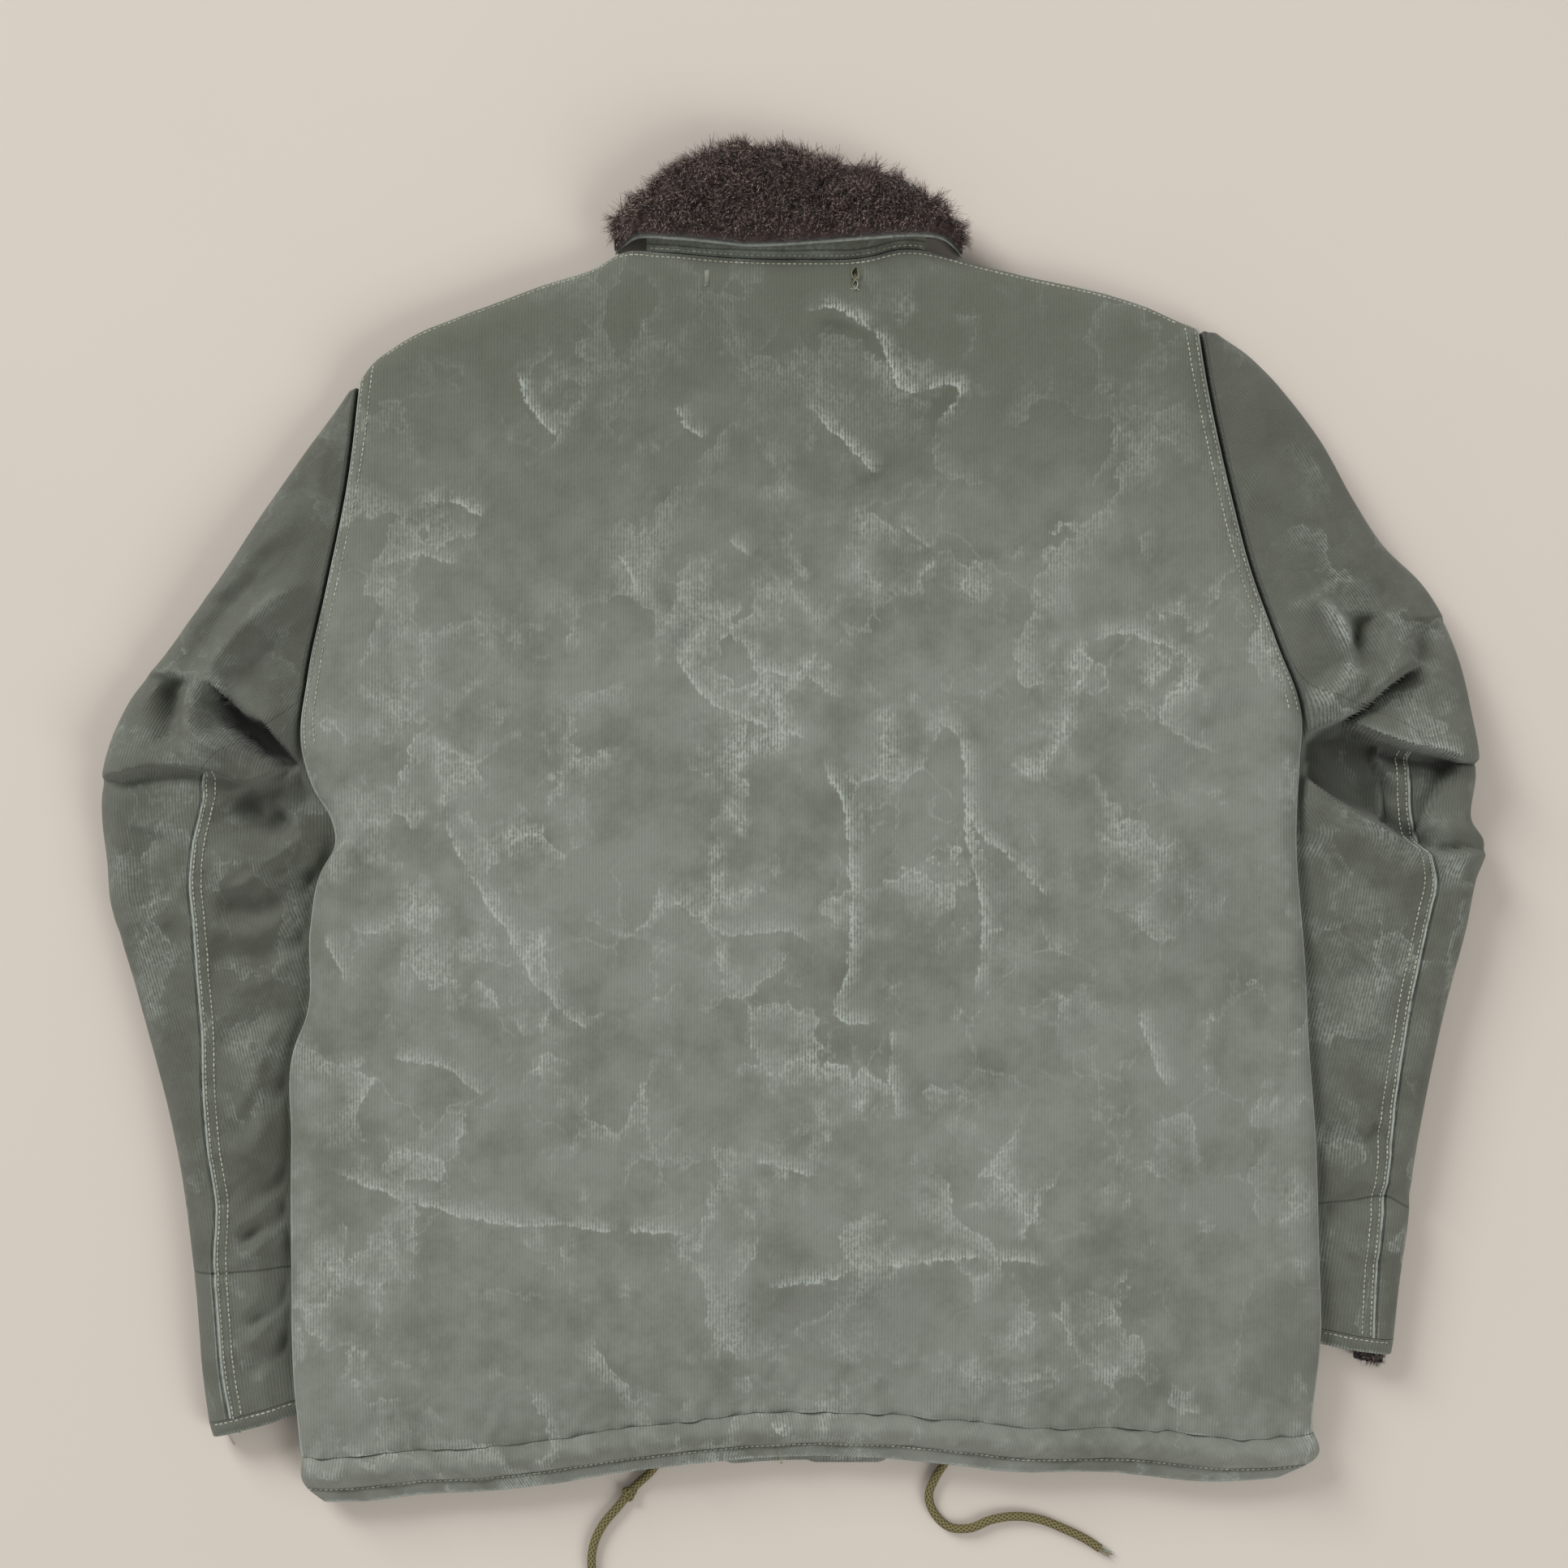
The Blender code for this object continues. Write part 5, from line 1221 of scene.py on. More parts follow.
def grown(name, source, make_tree, sizes, shape, material):
    """Plain mesh of what a tree with these sizes makes on a source object."""
    tree = make_tree(sizes)
    modifier = source.modifiers.new("repeats", "NODES")
    modifier.node_group = tree
    chosen = dict(sizes, Shape=shape, Material=material)
    for item in tree.interface.items_tree:
        if item.in_out == "INPUT" and item.name in chosen:
            modifier[item.identifier] = chosen[item.name]
    bpy.context.view_layer.update()
    graph = bpy.context.evaluated_depsgraph_get()
    mesh = bpy.data.meshes.new_from_object(source.evaluated_get(graph), depsgraph=graph)
    mesh.name = name
    source.modifiers.clear()
    return placed(name, mesh)


BODY = "cotton_cord_cloth_woven"
SLEEVES = "cotton_cord_sleeve_cloth_woven"
PILE = "wool_pile_brushed"
THREAD = "cotton_thread_spun"
BRAID = "cotton_cord_braided"


def settle(piece, finish_name, slot_name="", *nodes):
    """Gives a piece its finish and its place on the frame, for the nodes that it stands for."""
    piece.data.materials.clear()
    piece.data.materials.append(finish(finish_name))
    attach(piece, "root")
    if nodes:
        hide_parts(*nodes)
    return piece


def tube(name, route, radii, sides):
    """Closed round tube along a route of points in millimetres, with a radius at each."""
    route = np.asarray(route, float)
    along = np.gradient(route, axis=0)
    along /= np.linalg.norm(along, axis=1)[:, None]
    aside = np.cross(along, (0.0, 0.0, 1.0))
    aside /= np.maximum(np.linalg.norm(aside, axis=1), 1e-6)[:, None]
    upwards = np.cross(aside, along)
    angle = np.linspace(0.0, 2.0 * np.pi, sides, endpoint=False) - 0.5 * np.pi
    ring = (route[:, None] + radii[:, None, None] * (
        np.cos(angle)[None, :, None] * aside[:, None] + np.sin(angle)[None, :, None] * upwards[:, None]))
    rows = len(route)
    row, col = np.meshgrid(np.arange(rows - 1), np.arange(sides), indexing="ij")
    a = (row * sides + col).ravel()
    b = (row * sides + (col + 1) % sides).ravel()
    faces = np.stack([a, b, b + sides, a + sides], -1).tolist()
    faces.append(list(range(sides))[::-1])
    faces.append(list(range((rows - 1) * sides, rows * sides)))
    down = run_length(route)
    places = np.stack([np.broadcast_to(angle * radii.mean(), (rows, sides)),
                       np.broadcast_to(down[:, None], (rows, sides))], -1)
    points = ring.reshape(-1, 3)
    corner = points[np.array(faces[:-2])]
    outward = np.cross(corner[:, 2] - corner[:, 0], corner[:, 3] - corner[:, 1])
    if (outward * (corner.mean(1) - route[row.ravel()])).sum() < 0.0:
        faces = [face[::-1] for face in faces]
    return finished(name, points, faces, places.reshape(-1, 2), np.zeros(len(points)))


def joined(name, parts):
    """One object from several, with their meshes kept apart inside it."""
    gathered = bmesh.new()
    for part in parts:
        gathered.from_mesh(part.data)
        bpy.data.objects.remove(part, do_unlink=True)
    mesh = bpy.data.meshes.new(name)
    gathered.to_mesh(mesh)
    gathered.free()
    mesh.shade_smooth()
    return placed(name, mesh)


def moved_metres(points):
    """Points in millimetres as the frame has them, in metres."""
    points = np.asarray(points, float).copy()
    points[:, :2] += CENTRE_SHIFT
    return (points * MM).tolist()


def hem_height(across, below):
    """Height of the hem band's outer face: drawn casing, its gathers and its turned edge."""
    puffed = np.sin(np.pi * np.clip(below / LOWER_SEAM, 0.0, 1.0))
    height = HEM_HEIGHT - 8.0 * ease((below - 6.0) / 20.0) + 2.2 * puffed
    at = across * HEM_WIDTH
    from_seam = below - LOWER_SEAM - 1.3 * waviness(at, 0.0 * at, 21.0, 98)
    height -= 1.6 * dip(from_seam, 1.2) + 1.1 * dip(below, 1.6)
    for share, lift, half_width, slant in HEM_GATHERS:
        centre = share * HEM_WIDTH - at + slant * (below / LOWER_SEAM - 0.5)
        height += 1.6 * lift * np.exp(-(centre / half_width) ** 2) * puffed
    leaning = at + 5.0 * (below / LOWER_SEAM - 0.5) * np.where(across < 0.5, -1.0, 1.0)
    uneven = 0.5 + 0.5 * waviness(leaning, 0.0 * below, 46.0, 53)
    height += 1.9 * uneven * waviness(leaning, below * 0.4, 8.5, 51) * (0.35 + 0.65 * puffed)
    height += 0.5 * uneven * waviness(leaning, below * 0.5, 4.2, 52)
    edge = np.minimum(across, 1.0 - across) * HEM_WIDTH
    floor = hem_under(below) + SEAM_GAP
    height -= 0.9 * ease((below - BAND_WIDTH + 1.6) / 1.6)
    return floor + 2.0 + (np.maximum(height, floor + 2.5) - floor - 2.0) * quarter_round(edge, SIDE_ROUND)


def back_height(x, y, left_x, right_x, top_y, up, across):
    """Height of the back's outer face, with its creases and the pull of its stitching."""
    from_side = np.minimum(x - left_x, right_x - x)
    from_top = top_y - y
    inside = ease((from_side - 2.0) / 14.0) * ease((from_top - 2.0) / 12.0)
    height = body_top(x, y, left_x, right_x, top_y, up, across)
    height += inside * (crease_lift(x, y, BACK_CREASES) + 1.1 * drape(x, y, 71))
    beside = armhole_share(up)
    strip = beside * ease((11.5 - from_side) / 2.5)
    height += strip * (0.5 + 0.55 * pucker(y, from_side, 81)) * ease(from_side / 2.0)
    for row, half_width in zip(ARMHOLE_ROWS, (1.0, 1.1)):
        height -= beside * 0.7 * dip(from_side - row, half_width)
    height -= 0.5 * dip(from_top - 3.0, 1.1)
    from_casing = up * (TOP_EDGE[0][1] - HEM_EDGE[0][1])
    drawn = ease((46.0 - from_casing) / 44.0)
    height += drawn * (2.0 * waviness(x + 0.35 * from_casing, from_casing * 0.22, 13.0, 91)
                       + 1.3 * waviness(x - 0.4 * from_casing, from_casing * 0.3, 6.0, 92))
    return height - 1.0 * dip(from_casing, 1.8)


def edge_wear(from_edge, x, y, seed):
    """Pale wear along a turned edge, broken up along its length."""
    return np.exp(-(from_edge / 1.5) ** 2) * (1.2 + 0.6 * waviness(x, y, 9.0, seed))


def seam_wander(x, from_seam):
    """How the drawn hem's seam wanders off its line, the same on both of its sides."""
    wander = 0.9 * waviness(x, 0.0 * x, 17.0, 96) + 0.5 * waviness(x, 0.0 * x, 7.0, 97)
    return wander * dip(from_seam, 9.0)


def front_columns(edge_x, left, count):
    """Places across one front, closer together at its side and beside the fly."""
    side = -1.0 if left else 1.0
    edge_x = np.asarray(edge_x, float)[..., None]
    near = edge_x - side * np.array([0.0, 1.5, 4.0, 8.0, 12.0, 16.0])
    half = FLY_WIDTH / 2.0
    far = CENTRE_FRONT + side * np.array([half + 8.0, half + 5.0, half + 2.0, half, 6.0, SEAM_GAP])
    share = np.linspace(0.0, 1.0, count + 2)[1:-1]
    middle = near[..., -1:] + (far[0] - near[..., -1:]) * share
    return np.concatenate((near, middle, np.broadcast_to(far, near.shape[:-1] + far.shape)), axis=-1)


def front_panel(name, left):
    """One front on the floor: flat, with a few soft creases in the cloth below."""
    up = np.linspace(0.0, 0.995, 120)
    hem_rise = FRONT_BAND_WIDTH + 2.0
    left_x, right_x = body_edges(up, hem_rise)
    tucked = ease((up - (0.025 if left else 0.05)) / 0.02)
    tucked_inset = SIDE_INSET + (ARMHOLE_INSET - SIDE_INSET) * armhole_share(up)
    inset = FREE_INSET + (tucked_inset - FREE_INSET) * tucked
    x = front_columns(left_x + inset if left else right_x - inset, left, 38)
    across = (x - left_x[:, None]) / (right_x - left_x)[:, None]
    y, top_y = body_lengthwise(across, up[:, None], hem_rise)
    edge = np.minimum(np.abs(x - x[:, :1]), top_y - y)
    under = front_floor(x) + 5.0 * (1.0 - quarter_round(edge, 14.0))
    under += crease_lift(x, y, FRONT_CREASES)
    return slab(name, x, y, np.full_like(x, PLANE - SEAM_GAP), under, 0.25 + 0.0 * x)


def front_band(name, left):
    """Hem band of one front, whose edge shows below the back's near the middle."""
    below = np.linspace(1.0, 26.0, 18) + SEAM_GAP
    left_x, right_x = body_edges(0.0, BAND_WIDTH - below)
    x = front_columns(left_x + FREE_INSET if left else right_x - FREE_INSET, left, 90)
    across = (x - left_x[:, None]) / (right_x - left_x)[:, None]
    below = below[:, None]
    y = body_lengthwise(across, 0.0, BAND_WIDTH)[0] - below
    share = (below - below.min()) / (below.max() - below.min())
    shown = ease((across - PEEK[0]) / 0.03) * ease((PEEK[1] - across) / 0.03)
    rise = share * (3.0 - 7.5 * shown)
    y = y + rise
    upper = hem_under(below - rise) - SEAM_GAP - 1.5 * ease((below - 20.0) / 6.0)
    under = np.minimum(front_floor(x) + 3.0 * ease((share - 0.8) / 0.2), upper - 1.6)
    return slab(name, x, y, upper, under, 0.6 * share + 0.0 * x)


def strip(name, half_width, low, thickness, bottom, top):
    """Flat strip down the centre front, its lower end rounded and its edges eased."""
    across = np.array([-1.0, -0.985, -0.94, -0.5, 0.0, 0.5, 0.94, 0.985, 1.0])
    up = np.concatenate(([0.0, 0.0012, 0.003, 0.006, 0.009, 0.014], np.linspace(0.02, 1.0, 60)))
    across, up = np.meshgrid(across, up)
    corner = quarter_round(up * (top - bottom), 9.0)
    x = CENTRE_FRONT + across * half_width * (0.72 + 0.28 * corner)
    y = bottom + up * (top - bottom)
    eased = 0.35 * thickness * (1.0 - quarter_round(half_width * (1.0 - np.abs(across)), 1.2))
    return slab(name, x, y, low + thickness - eased, low + eased, 0.5 + 0.0 * x)


def sleeve_under(sleeve, name):
    """Under sleeve: from the body's edge to the elbow seam."""
    distance = sleeve.inner_columns(34)
    top = sleeve.top(distance)
    low = sleeve.between(distance, top) + SEAM_GAP
    shown = distance.copy()
    shown[:, -1] -= SEAM_GAP / 2.0
    inside = sleeve.seam[:, None] - distance
    piece = closed_wall(name, sleeve.points(shown, top), sleeve.points(shown, low),
                        sleeve.cloth_places(distance), sleeve.worn(distance, inside, 14))
    sleeve.mark_seams(piece, distance, inside)
    return piece


def sleeve_top(sleeve, name):
    """Top sleeve: from the elbow seam round the outer edge and back along the floor."""
    upper = sleeve.outer_columns(30)
    shown = upper.copy()
    shown[:, 0] += SEAM_GAP / 2.0
    end = upper[:, -1:]
    top = sleeve.top(upper)
    crest = top[:, -1:]
    middle = sleeve.between(end, crest)
    angle = np.linspace(0.5, -0.5, 14)[None, 1:-1] * np.pi
    edge_out = end + sleeve.round[:, None] * np.cos(angle)
    edge_in = end + 1.5 * np.cos(angle)
    lower = np.concatenate((sleeve.inner_columns(10), sleeve.outer_columns(10)[:, 1:]), axis=1)[:, ::-1]
    lower_top = sleeve.between(lower, sleeve.top(lower)) - SEAM_GAP
    rim = end + sleeve.round[:, None] * np.pi / 2.0 * (1.0 - angle / (0.5 * np.pi))
    outer = np.concatenate((sleeve.points(shown, top),
                            sleeve.points(edge_out, 0.5 * crest * (1.0 + np.sin(angle))),
                            sleeve.points(lower, 0.0 * lower)), axis=1)
    inner = np.concatenate((sleeve.points(shown, sleeve.between(upper, top) + SEAM_GAP),
                            sleeve.points(edge_in, middle + SEAM_GAP * np.sin(angle)),
                            sleeve.points(lower, lower_top)), axis=1)
    spread = np.concatenate((upper, rim, rim[:, -1:] + end - lower), axis=1)
    wear_and_shade = sleeve.worn(upper, upper - sleeve.seam[:, None], 15)
    wear_and_shade = np.concatenate((wear_and_shade, 0.15 + 0.0 * edge_out, 0.0 * lower), axis=1)
    piece = closed_wall(name, outer, inner, sleeve.cloth_places(spread), wear_and_shade)
    sleeve.mark_seams(piece, spread, sleeve.seam[:, None] - spread)
    return piece


def cuff(sleeve, name):
    """Turned hem at the sleeve's end, a flattened ring with its stitched line."""
    end = sleeve.inner[-1]
    along = sleeve.along[-1]
    down = np.array([along[1], -along[0]]) * np.sign(along[0])
    width = sleeve.width[-1]
    edge = sleeve.round[-1]
    flat = np.concatenate(([0.0, TUCK + 1.0], np.linspace(TUCK + 3.0, width - edge, 34)))
    low = PLANE - SEAM_GAP
    height = low + (sleeve.height[-1] - low) * ease((flat - TUCK - 1.0) / SLEEVE_RISE_WIDTH)
    angle = np.linspace(0.5, -0.5, 12)[1:-1] * np.pi
    crest = height[-1]
    across = np.concatenate((flat, width - edge + edge * np.cos(angle), flat[::-1]))
    tall = np.concatenate((height, 0.5 * crest * (1.0 + np.sin(angle)), 0.0 * flat))
    middle = np.concatenate((0.5 * height, np.full(len(angle), 0.5 * crest), 0.5 * height[::-1]))
    gap = np.concatenate((np.ones(len(flat)), np.sin(angle), -np.ones(len(flat))))
    slit = np.clip(across, 4.0, width - edge + 1.5)
    outer, inner, places, wear_and_shade = [], [], [], []
    for step in np.linspace(SEAM_GAP, CUFF_LENGTH, 14):
        squeeze = 1.0 - 0.10 * (step / CUFF_LENGTH) ** 3
        rough = 0.35 * waviness(across, np.full_like(across, step), 5.0, 61) * np.clip(gap, 0.0, 1.0)
        rough = rough - 0.6 * dip(step - 1.6, 0.8) * np.clip(gap, 0.0, 1.0)
        base = end + down * step
        outer.append(np.column_stack((base + across[:, None] * along, tall * squeeze + rough)))
        inner.append(np.column_stack((base + slit[:, None] * along, middle * squeeze + 0.6 * gap)))
        places.append(np.column_stack((width - across, np.full_like(across, sleeve.down[-1] + step))))
        wear_and_shade.append(0.75 * dip(CUFF_LENGTH - step, 2.2) * np.clip(gap, 0.2, 1.0))
    return closed_wall(name, np.array(outer), np.array(inner), np.array(places), np.array(wear_and_shade), ring=True)


def collar_leaf(name):
    """Pile side of the collar: the turned leaf, the roll and the layer under the stand."""
    x, edge_y, roll_y = collar_columns(130)
    share = np.linspace(0.0, 1.0, 16)[None, :]
    turn = np.minimum(COLLAR_ROUND, 0.55 * (roll_y - edge_y))
    leg_end = roll_y - turn
    leg = edge_y + (leg_end - edge_y) * share
    angle = np.linspace(0.5, -0.5, 20)[None, 1:-1] * np.pi
    droop = end_droop(x)
    top = LEAF_TOP * droop
    crown = top - 5.0 * (1.0 - quarter_round(leg - edge_y, 12.0))
    round_y = leg_end + turn * np.cos(angle)
    round_z = 0.5 * top * (1.0 + np.sin(angle))
    low_leg = leg_end + (edge_y + 2.0 - leg_end) * share
    leg_in = (LEAF_TOP - LEAF_PILE) * droop + 0.0 * leg
    floor_in = 0.94 * STAND_BOTTOM * droop + 0.0 * leg
    middle = 0.5 * (leg_in[:, :1] + floor_in[:, :1])
    half = 0.5 * (leg_in[:, :1] - floor_in[:, :1])

    def grid(y, z):
        return np.stack(np.broadcast_arrays(x, y, z), axis=-1)

    outer = np.concatenate((grid(leg, crown), grid(round_y, round_z), grid(low_leg, 0.0)), axis=1)
    bent = grid(leg_end + 3.0 * np.cos(angle), middle + half * np.sin(angle))
    inner = np.concatenate((grid(leg, leg_in), bent, grid(low_leg, floor_in)), axis=1)
    lumps = waviness(outer[..., 0], outer[..., 1] + outer[..., 2], 8.0, 41)
    lumps += 0.6 * waviness(outer[..., 0], outer[..., 1] + outer[..., 2], 4.0, 42)
    shown = ease(outer[..., 2] / 6.0)
    outer[..., 2] += 1.1 * lumps * shown
    places = np.stack([outer[..., 0], outer[..., 1] + outer[..., 2]], -1)
    # The share clear of the floor goes in as the wear attribute here; the pile material paints shade where it
    # is low.
    piece = closed_wall(name, outer, inner, places, shown)
    above = ease((outer[..., 2] - 10.0) / 6.0)
    inside = 0.25 + 0.75 * ease((outer[..., 1] - edge_y) / 9.0)
    add_attribute(piece, "pile", above * inside)
    return piece


def collar_cloth(name):
    """Cloth side of the turned leaf, its pale edge just below the pile."""
    x, edge_y, roll_y = collar_columns(130)
    share = np.linspace(0.0, 1.0, 24)[None, :]
    turn = np.minimum(COLLAR_ROUND, 0.55 * (roll_y - edge_y))
    y = edge_y - 1.8 + (roll_y - turn - edge_y + 1.5) * share
    rim = 0.5 * (1.0 - quarter_round(y - y[:, :1], 1.2)) + 0.25 * waviness(x + 0.0 * y, y, 6.0, 44)
    top = (LEAF_TOP - LEAF_PILE) * end_droop(x) - SEAM_GAP - np.abs(rim)
    under = top - LEAF_CLOTH + 1.2 * np.abs(rim)
    full_x = x + 0.0 * y
    piece = slab(name, full_x, y, top, under, 0.9 * dip(y - y[:, :1], 2.6), (0.12 * y, full_x))
    add_edge(piece, "edge", y - y[:, :1])
    return piece


def collar_stand(name):
    """Collar stand: from the neck seam up under the turned leaf."""
    x = np.linspace(*STAND_ENDS, 120)[:, None]
    neck = neck_line(x) + NECK_GAP
    roll = through(column(COLLAR, 0), column(COLLAR, 2), x) - 19.0
    share = np.array([0.0, 0.03, 0.06, 0.09, 0.12, 0.16, 0.2, 0.3, 0.45, 0.6, 0.8, 1.0])[None, :]
    y = neck + (np.maximum(roll, neck + 16.0) - neck) * share
    droop = end_droop(x)
    gathered = 0.4 * waviness(x + 0.0 * y, (y - neck) * 0.5, 5.0, 46)
    top = STAND_TOP * droop + gathered * ease((y - neck) / 3.0) - 0.5 * dip(y - neck, 1.0)
    under = STAND_BOTTOM * droop + 0.0 * y
    full_x = x + 0.0 * y
    piece = slab(name, full_x, y, top, under, 0.55 + 0.0 * y, (0.12 * y, full_x))
    # The cut attribute draws a painted dark line of shade along the neck seam.
    add_edge(piece, "cut", y - neck - 4.5 - 0.6 * waviness(full_x, 0.0 * full_x, 24.0, 47))
    return piece


def cuff_pile(sleeve, name):
    """Pile lining that shows below the right cuff."""
    end = sleeve.inner[-1]
    along = sleeve.along[-1]
    across = np.linspace(30.0, 46.0, 24)
    steps = np.linspace(0.0, 1.0, 10)
    reach = CUFF_LENGTH + SEAM_GAP + (7.0 - SEAM_GAP) * steps
    height = 16.0 - 7.0 * steps ** 1.4
    rows = []
    for step, tall in zip(reach, height):
        base = end + np.array([0.0, -step])
        rows.append(np.column_stack((base + across[:, None] * along, np.full(len(across), tall))))
    top = np.array(rows)
    top[1:, :, 2] *= 1.0 - 0.3 * ((across - 38.0) / 8.0) ** 2
    under = top.copy()
    under[..., 2] = (4.0 - 2.0 * steps)[:, None]
    # Its wear attribute is 0 all over, so the pile material paints its backing and the roots of its locks in
    # near-black shade.
    piece = closed_wall(name, top, under, top[..., :2], 0.0 * top[..., 0])
    add_attribute(piece, "pile", np.ones_like(top[..., 0]))
    return piece


def length_property(name, description, millimetres):
    """Length setting with a default in millimetres."""
    return FloatProperty(name=name, description=description, default=millimetres * MM, min=0.1 * MM,
                         unit="LENGTH")


def colour_property(name, description, code):
    """Colour setting with an sRGB hex default."""
    return FloatVectorProperty(name=name, description=description, subtype="COLOR", min=0.0, max=1.0,
                               default=linear(code))


class JacketSizes(bpy.types.PropertyGroup):
    """Sizes that a user would change."""

    cell: length_property("Cloth cell", "Distance between the cloth's points", 2.4)
    rib: length_property("Rib spacing", "Distance between the drawn ribs of the cord cloth", 1.75)
    stitch_pitch: length_property("Stitch pitch", "Distance from stitch to stitch", 3.0)
    stitch_width: length_property("Thread width", "Width of a sewn stitch", 0.9)
    pile_length: length_property("Pile length", "Length of the longest locks of pile", 13.0)
    pile_density: FloatProperty(name="Pile density", description="Locks of pile on a square metre",
                                default=240000.0)
    pile_lean: FloatProperty(name="Pile lean", description="How far the locks lean over",
                             default=1.25, subtype="FACTOR", max=3.0)
    pile_seed: IntProperty(name="Pile seed", description="Seed of the pile's places", default=5)


class JacketColours(bpy.types.PropertyGroup):
    """Colours that a user would change."""

    cloth: colour_property("Cloth", "Grey-green of the back", "6b6e64")
    cloth_upper: colour_property("Cloth, upper", "Olive of the upper back", "595c4f")
    cloth_faded: colour_property("Cloth, faded", "Cloth where its dye has thinned", "83867e")
    cloth_groove: colour_property("Cloth, grooves", "Cloth between its ribs", "4c4e45")
    # Near-black colour of the painted shade in the cloth's folds, hollows and seam lines; the bar tacks' dark
    # thread also uses it as its own colour.
    fold_shade_and_dark_thread: colour_property("Cloth, folds", "Cloth deep in its folds, which keeps its dye", "1a1b16")
    cloth_rubbed: colour_property("Cloth, rubbed", "Cloth that has lost its dye", "a9b0a8")
    sleeve: colour_property("Sleeve", "Sleeve cloth", "53554b")
    sleeve_faded: colour_property("Sleeve, faded", "Sleeve cloth where its dye has thinned", "666960")
    pile: colour_property("Pile", "Brown of the pile", "4a3934")
    pile_root: colour_property("Pile, roots", "Roots of the pile", "1d1513")
    pile_tip: colour_property("Pile, tips", "Weathered tips of the pile", "c2aaa0")
    thread: colour_property("Thread", "Sewing thread", "96978a")
    thread_faded: colour_property("Thread, faded", "Faded sewing thread", "b8b8a8")
    cord: colour_property("Drawstring", "Drawstring's strands", "857b56")
    # Painted shade in the gaps between the drawstring's strands.
    cord_gap_shade: colour_property("Drawstring, gaps", "Gaps between its strands", "3f3a24")
    board: colour_property("Floor", "Pale board under the jacket", "d6cdc3")


def sleeves():
    """Left and right sleeve forms at the chosen cell size."""
    cell = bpy.context.scene.jacket_sizes.cell / MM
    return (Sleeve(LEFT_SLEEVE, LEFT_EDGE, LEFT_FOLDS, LEFT_CREASES, LEFT_RECESSES, 33.0, -1.0, cell),
            Sleeve(RIGHT_SLEEVE, RIGHT_EDGE, RIGHT_FOLDS, RIGHT_CREASES, RIGHT_RECESSES, 46.0, 1.0, cell))


class JACKET_OT_stage(bpy.types.Operator):
    """Lay a pale board, light it softly from the upper left and set the camera straight above"""

    bl_idname = "jacket.stage"
    bl_label = "Stage"

    def execute(self, context):
        scene = context.scene
        scene.view_settings.view_transform = "Standard"
        camera = bpy.data.cameras.new("camera")
        camera.sensor_width = 36.0
        camera.lens = 36.0 * (CAMERA_HEIGHT - 0.02) / PHOTO_WIDTH
        camera.clip_end = 20.0
        scene.camera = placed("camera", camera)
        scene.camera.location = (CAMERA_PLACE[0] * MM, CAMERA_PLACE[1] * MM, CAMERA_HEIGHT)
        for name, place, size, power in LIGHTS:
            lamp = bpy.data.lights.new(name, "AREA")
            lamp.shape = "SQUARE"
            lamp.size = size
            lamp.energy = power
            holder = placed(name, lamp)
            holder.location = place
            holder.rotation_euler = (-Vector(place)).to_track_quat("-Z", "Y").to_euler()
        scene.world = bpy.data.worlds.new("soft_room")
        scene.world.use_nodes = True
        room = scene.world.node_tree.nodes["Background"].inputs
        room["Color"].default_value = (1.0, 0.985, 0.965, 1.0)
        room["Strength"].default_value = ROOM_LIGHT
        mesh = bpy.data.meshes.new("board")
        corners = ((-1, -1), (1, -1), (1, 1), (-1, 1))
        corners = [(BOARD_HALF * x, BOARD_HALF * y, -0.4 * MM) for x, y in corners]
        mesh.from_pydata(corners, [], [(0, 1, 2, 3)])
        mesh.materials.append(finish("painted_board"))
        placed("board", mesh)
        return {"FINISHED"}


def frayed_tip(route):
    """Eleven loose strands past the end of a cord's route."""
    rng = np.random.default_rng(9)
    strands = []
    share = np.linspace(0.0, 1.0, 7)[:, None]
    for number in range(11):
        aside = rng.uniform(-1.0, 1.0, 3) * (1.4, 1.4, 0.8)
        reach = np.array((8.6, -5.6, -1.6)) * rng.uniform(0.75, 1.05)
        strand = route[-1] + aside * 0.9 + reach * share - (1.5, -1.0, 0.0)
        strand = strand + share ** 2 * rng.uniform(-1.6, 1.6, 3) * (1.0, 1.0, 0.1)
        strand[:, 2] = np.maximum(strand[:, 2], 0.6)
        strands.append(tube("strand", strand, np.linspace(0.55, 0.14, 7), 5))
    return settle(joined("drawstring_right_tip", strands), "cotton_strands_frayed", "drawstring")


def small_knot(route):
    """Overhand knot on a cord's route."""
    turn = np.linspace(0.0, 2.0 * np.pi, 60, endpoint=False)
    loop = np.stack([np.sin(turn) + 2.0 * np.sin(2.0 * turn), np.cos(turn) - 2.0 * np.cos(2.0 * turn),
                     -0.9 * np.sin(3.0 * turn)], -1) * 1.05
    loop = np.concatenate((loop, loop[:1])) + route[np.abs(route[:, 0] + 94.5).argmin()] + (0.0, 0.0, 1.4)
    return settle(tube("drawstring_left_knot", loop, np.full(len(loop), 1.55), 12), BRAID, "drawstring")


class JACKET_OT_drawstring(bpy.types.Operator):
    """Lay the drawstring's two free ends, with a small knot and a frayed tip"""

    bl_idname = "jacket.drawstring"
    bl_label = "Drawstring"

    def execute(self, context):
        for side, points, ending in (("right", RIGHT_CORD_ROUTE, frayed_tip),
                                     ("left", LEFT_CORD_ROUTE, small_knot)):
            route = smooth_route(points, 1.0)
            cord = tube("drawstring_" + side, route, np.full(len(route), CORD_DIAMETER / 2.0), 20)
            settle(cord, BRAID, "drawstring", "cord_" + side)
            moved_metres(route[:1])[0]
            moved_metres(route)
            ending(route)
        return {"FINISHED"}


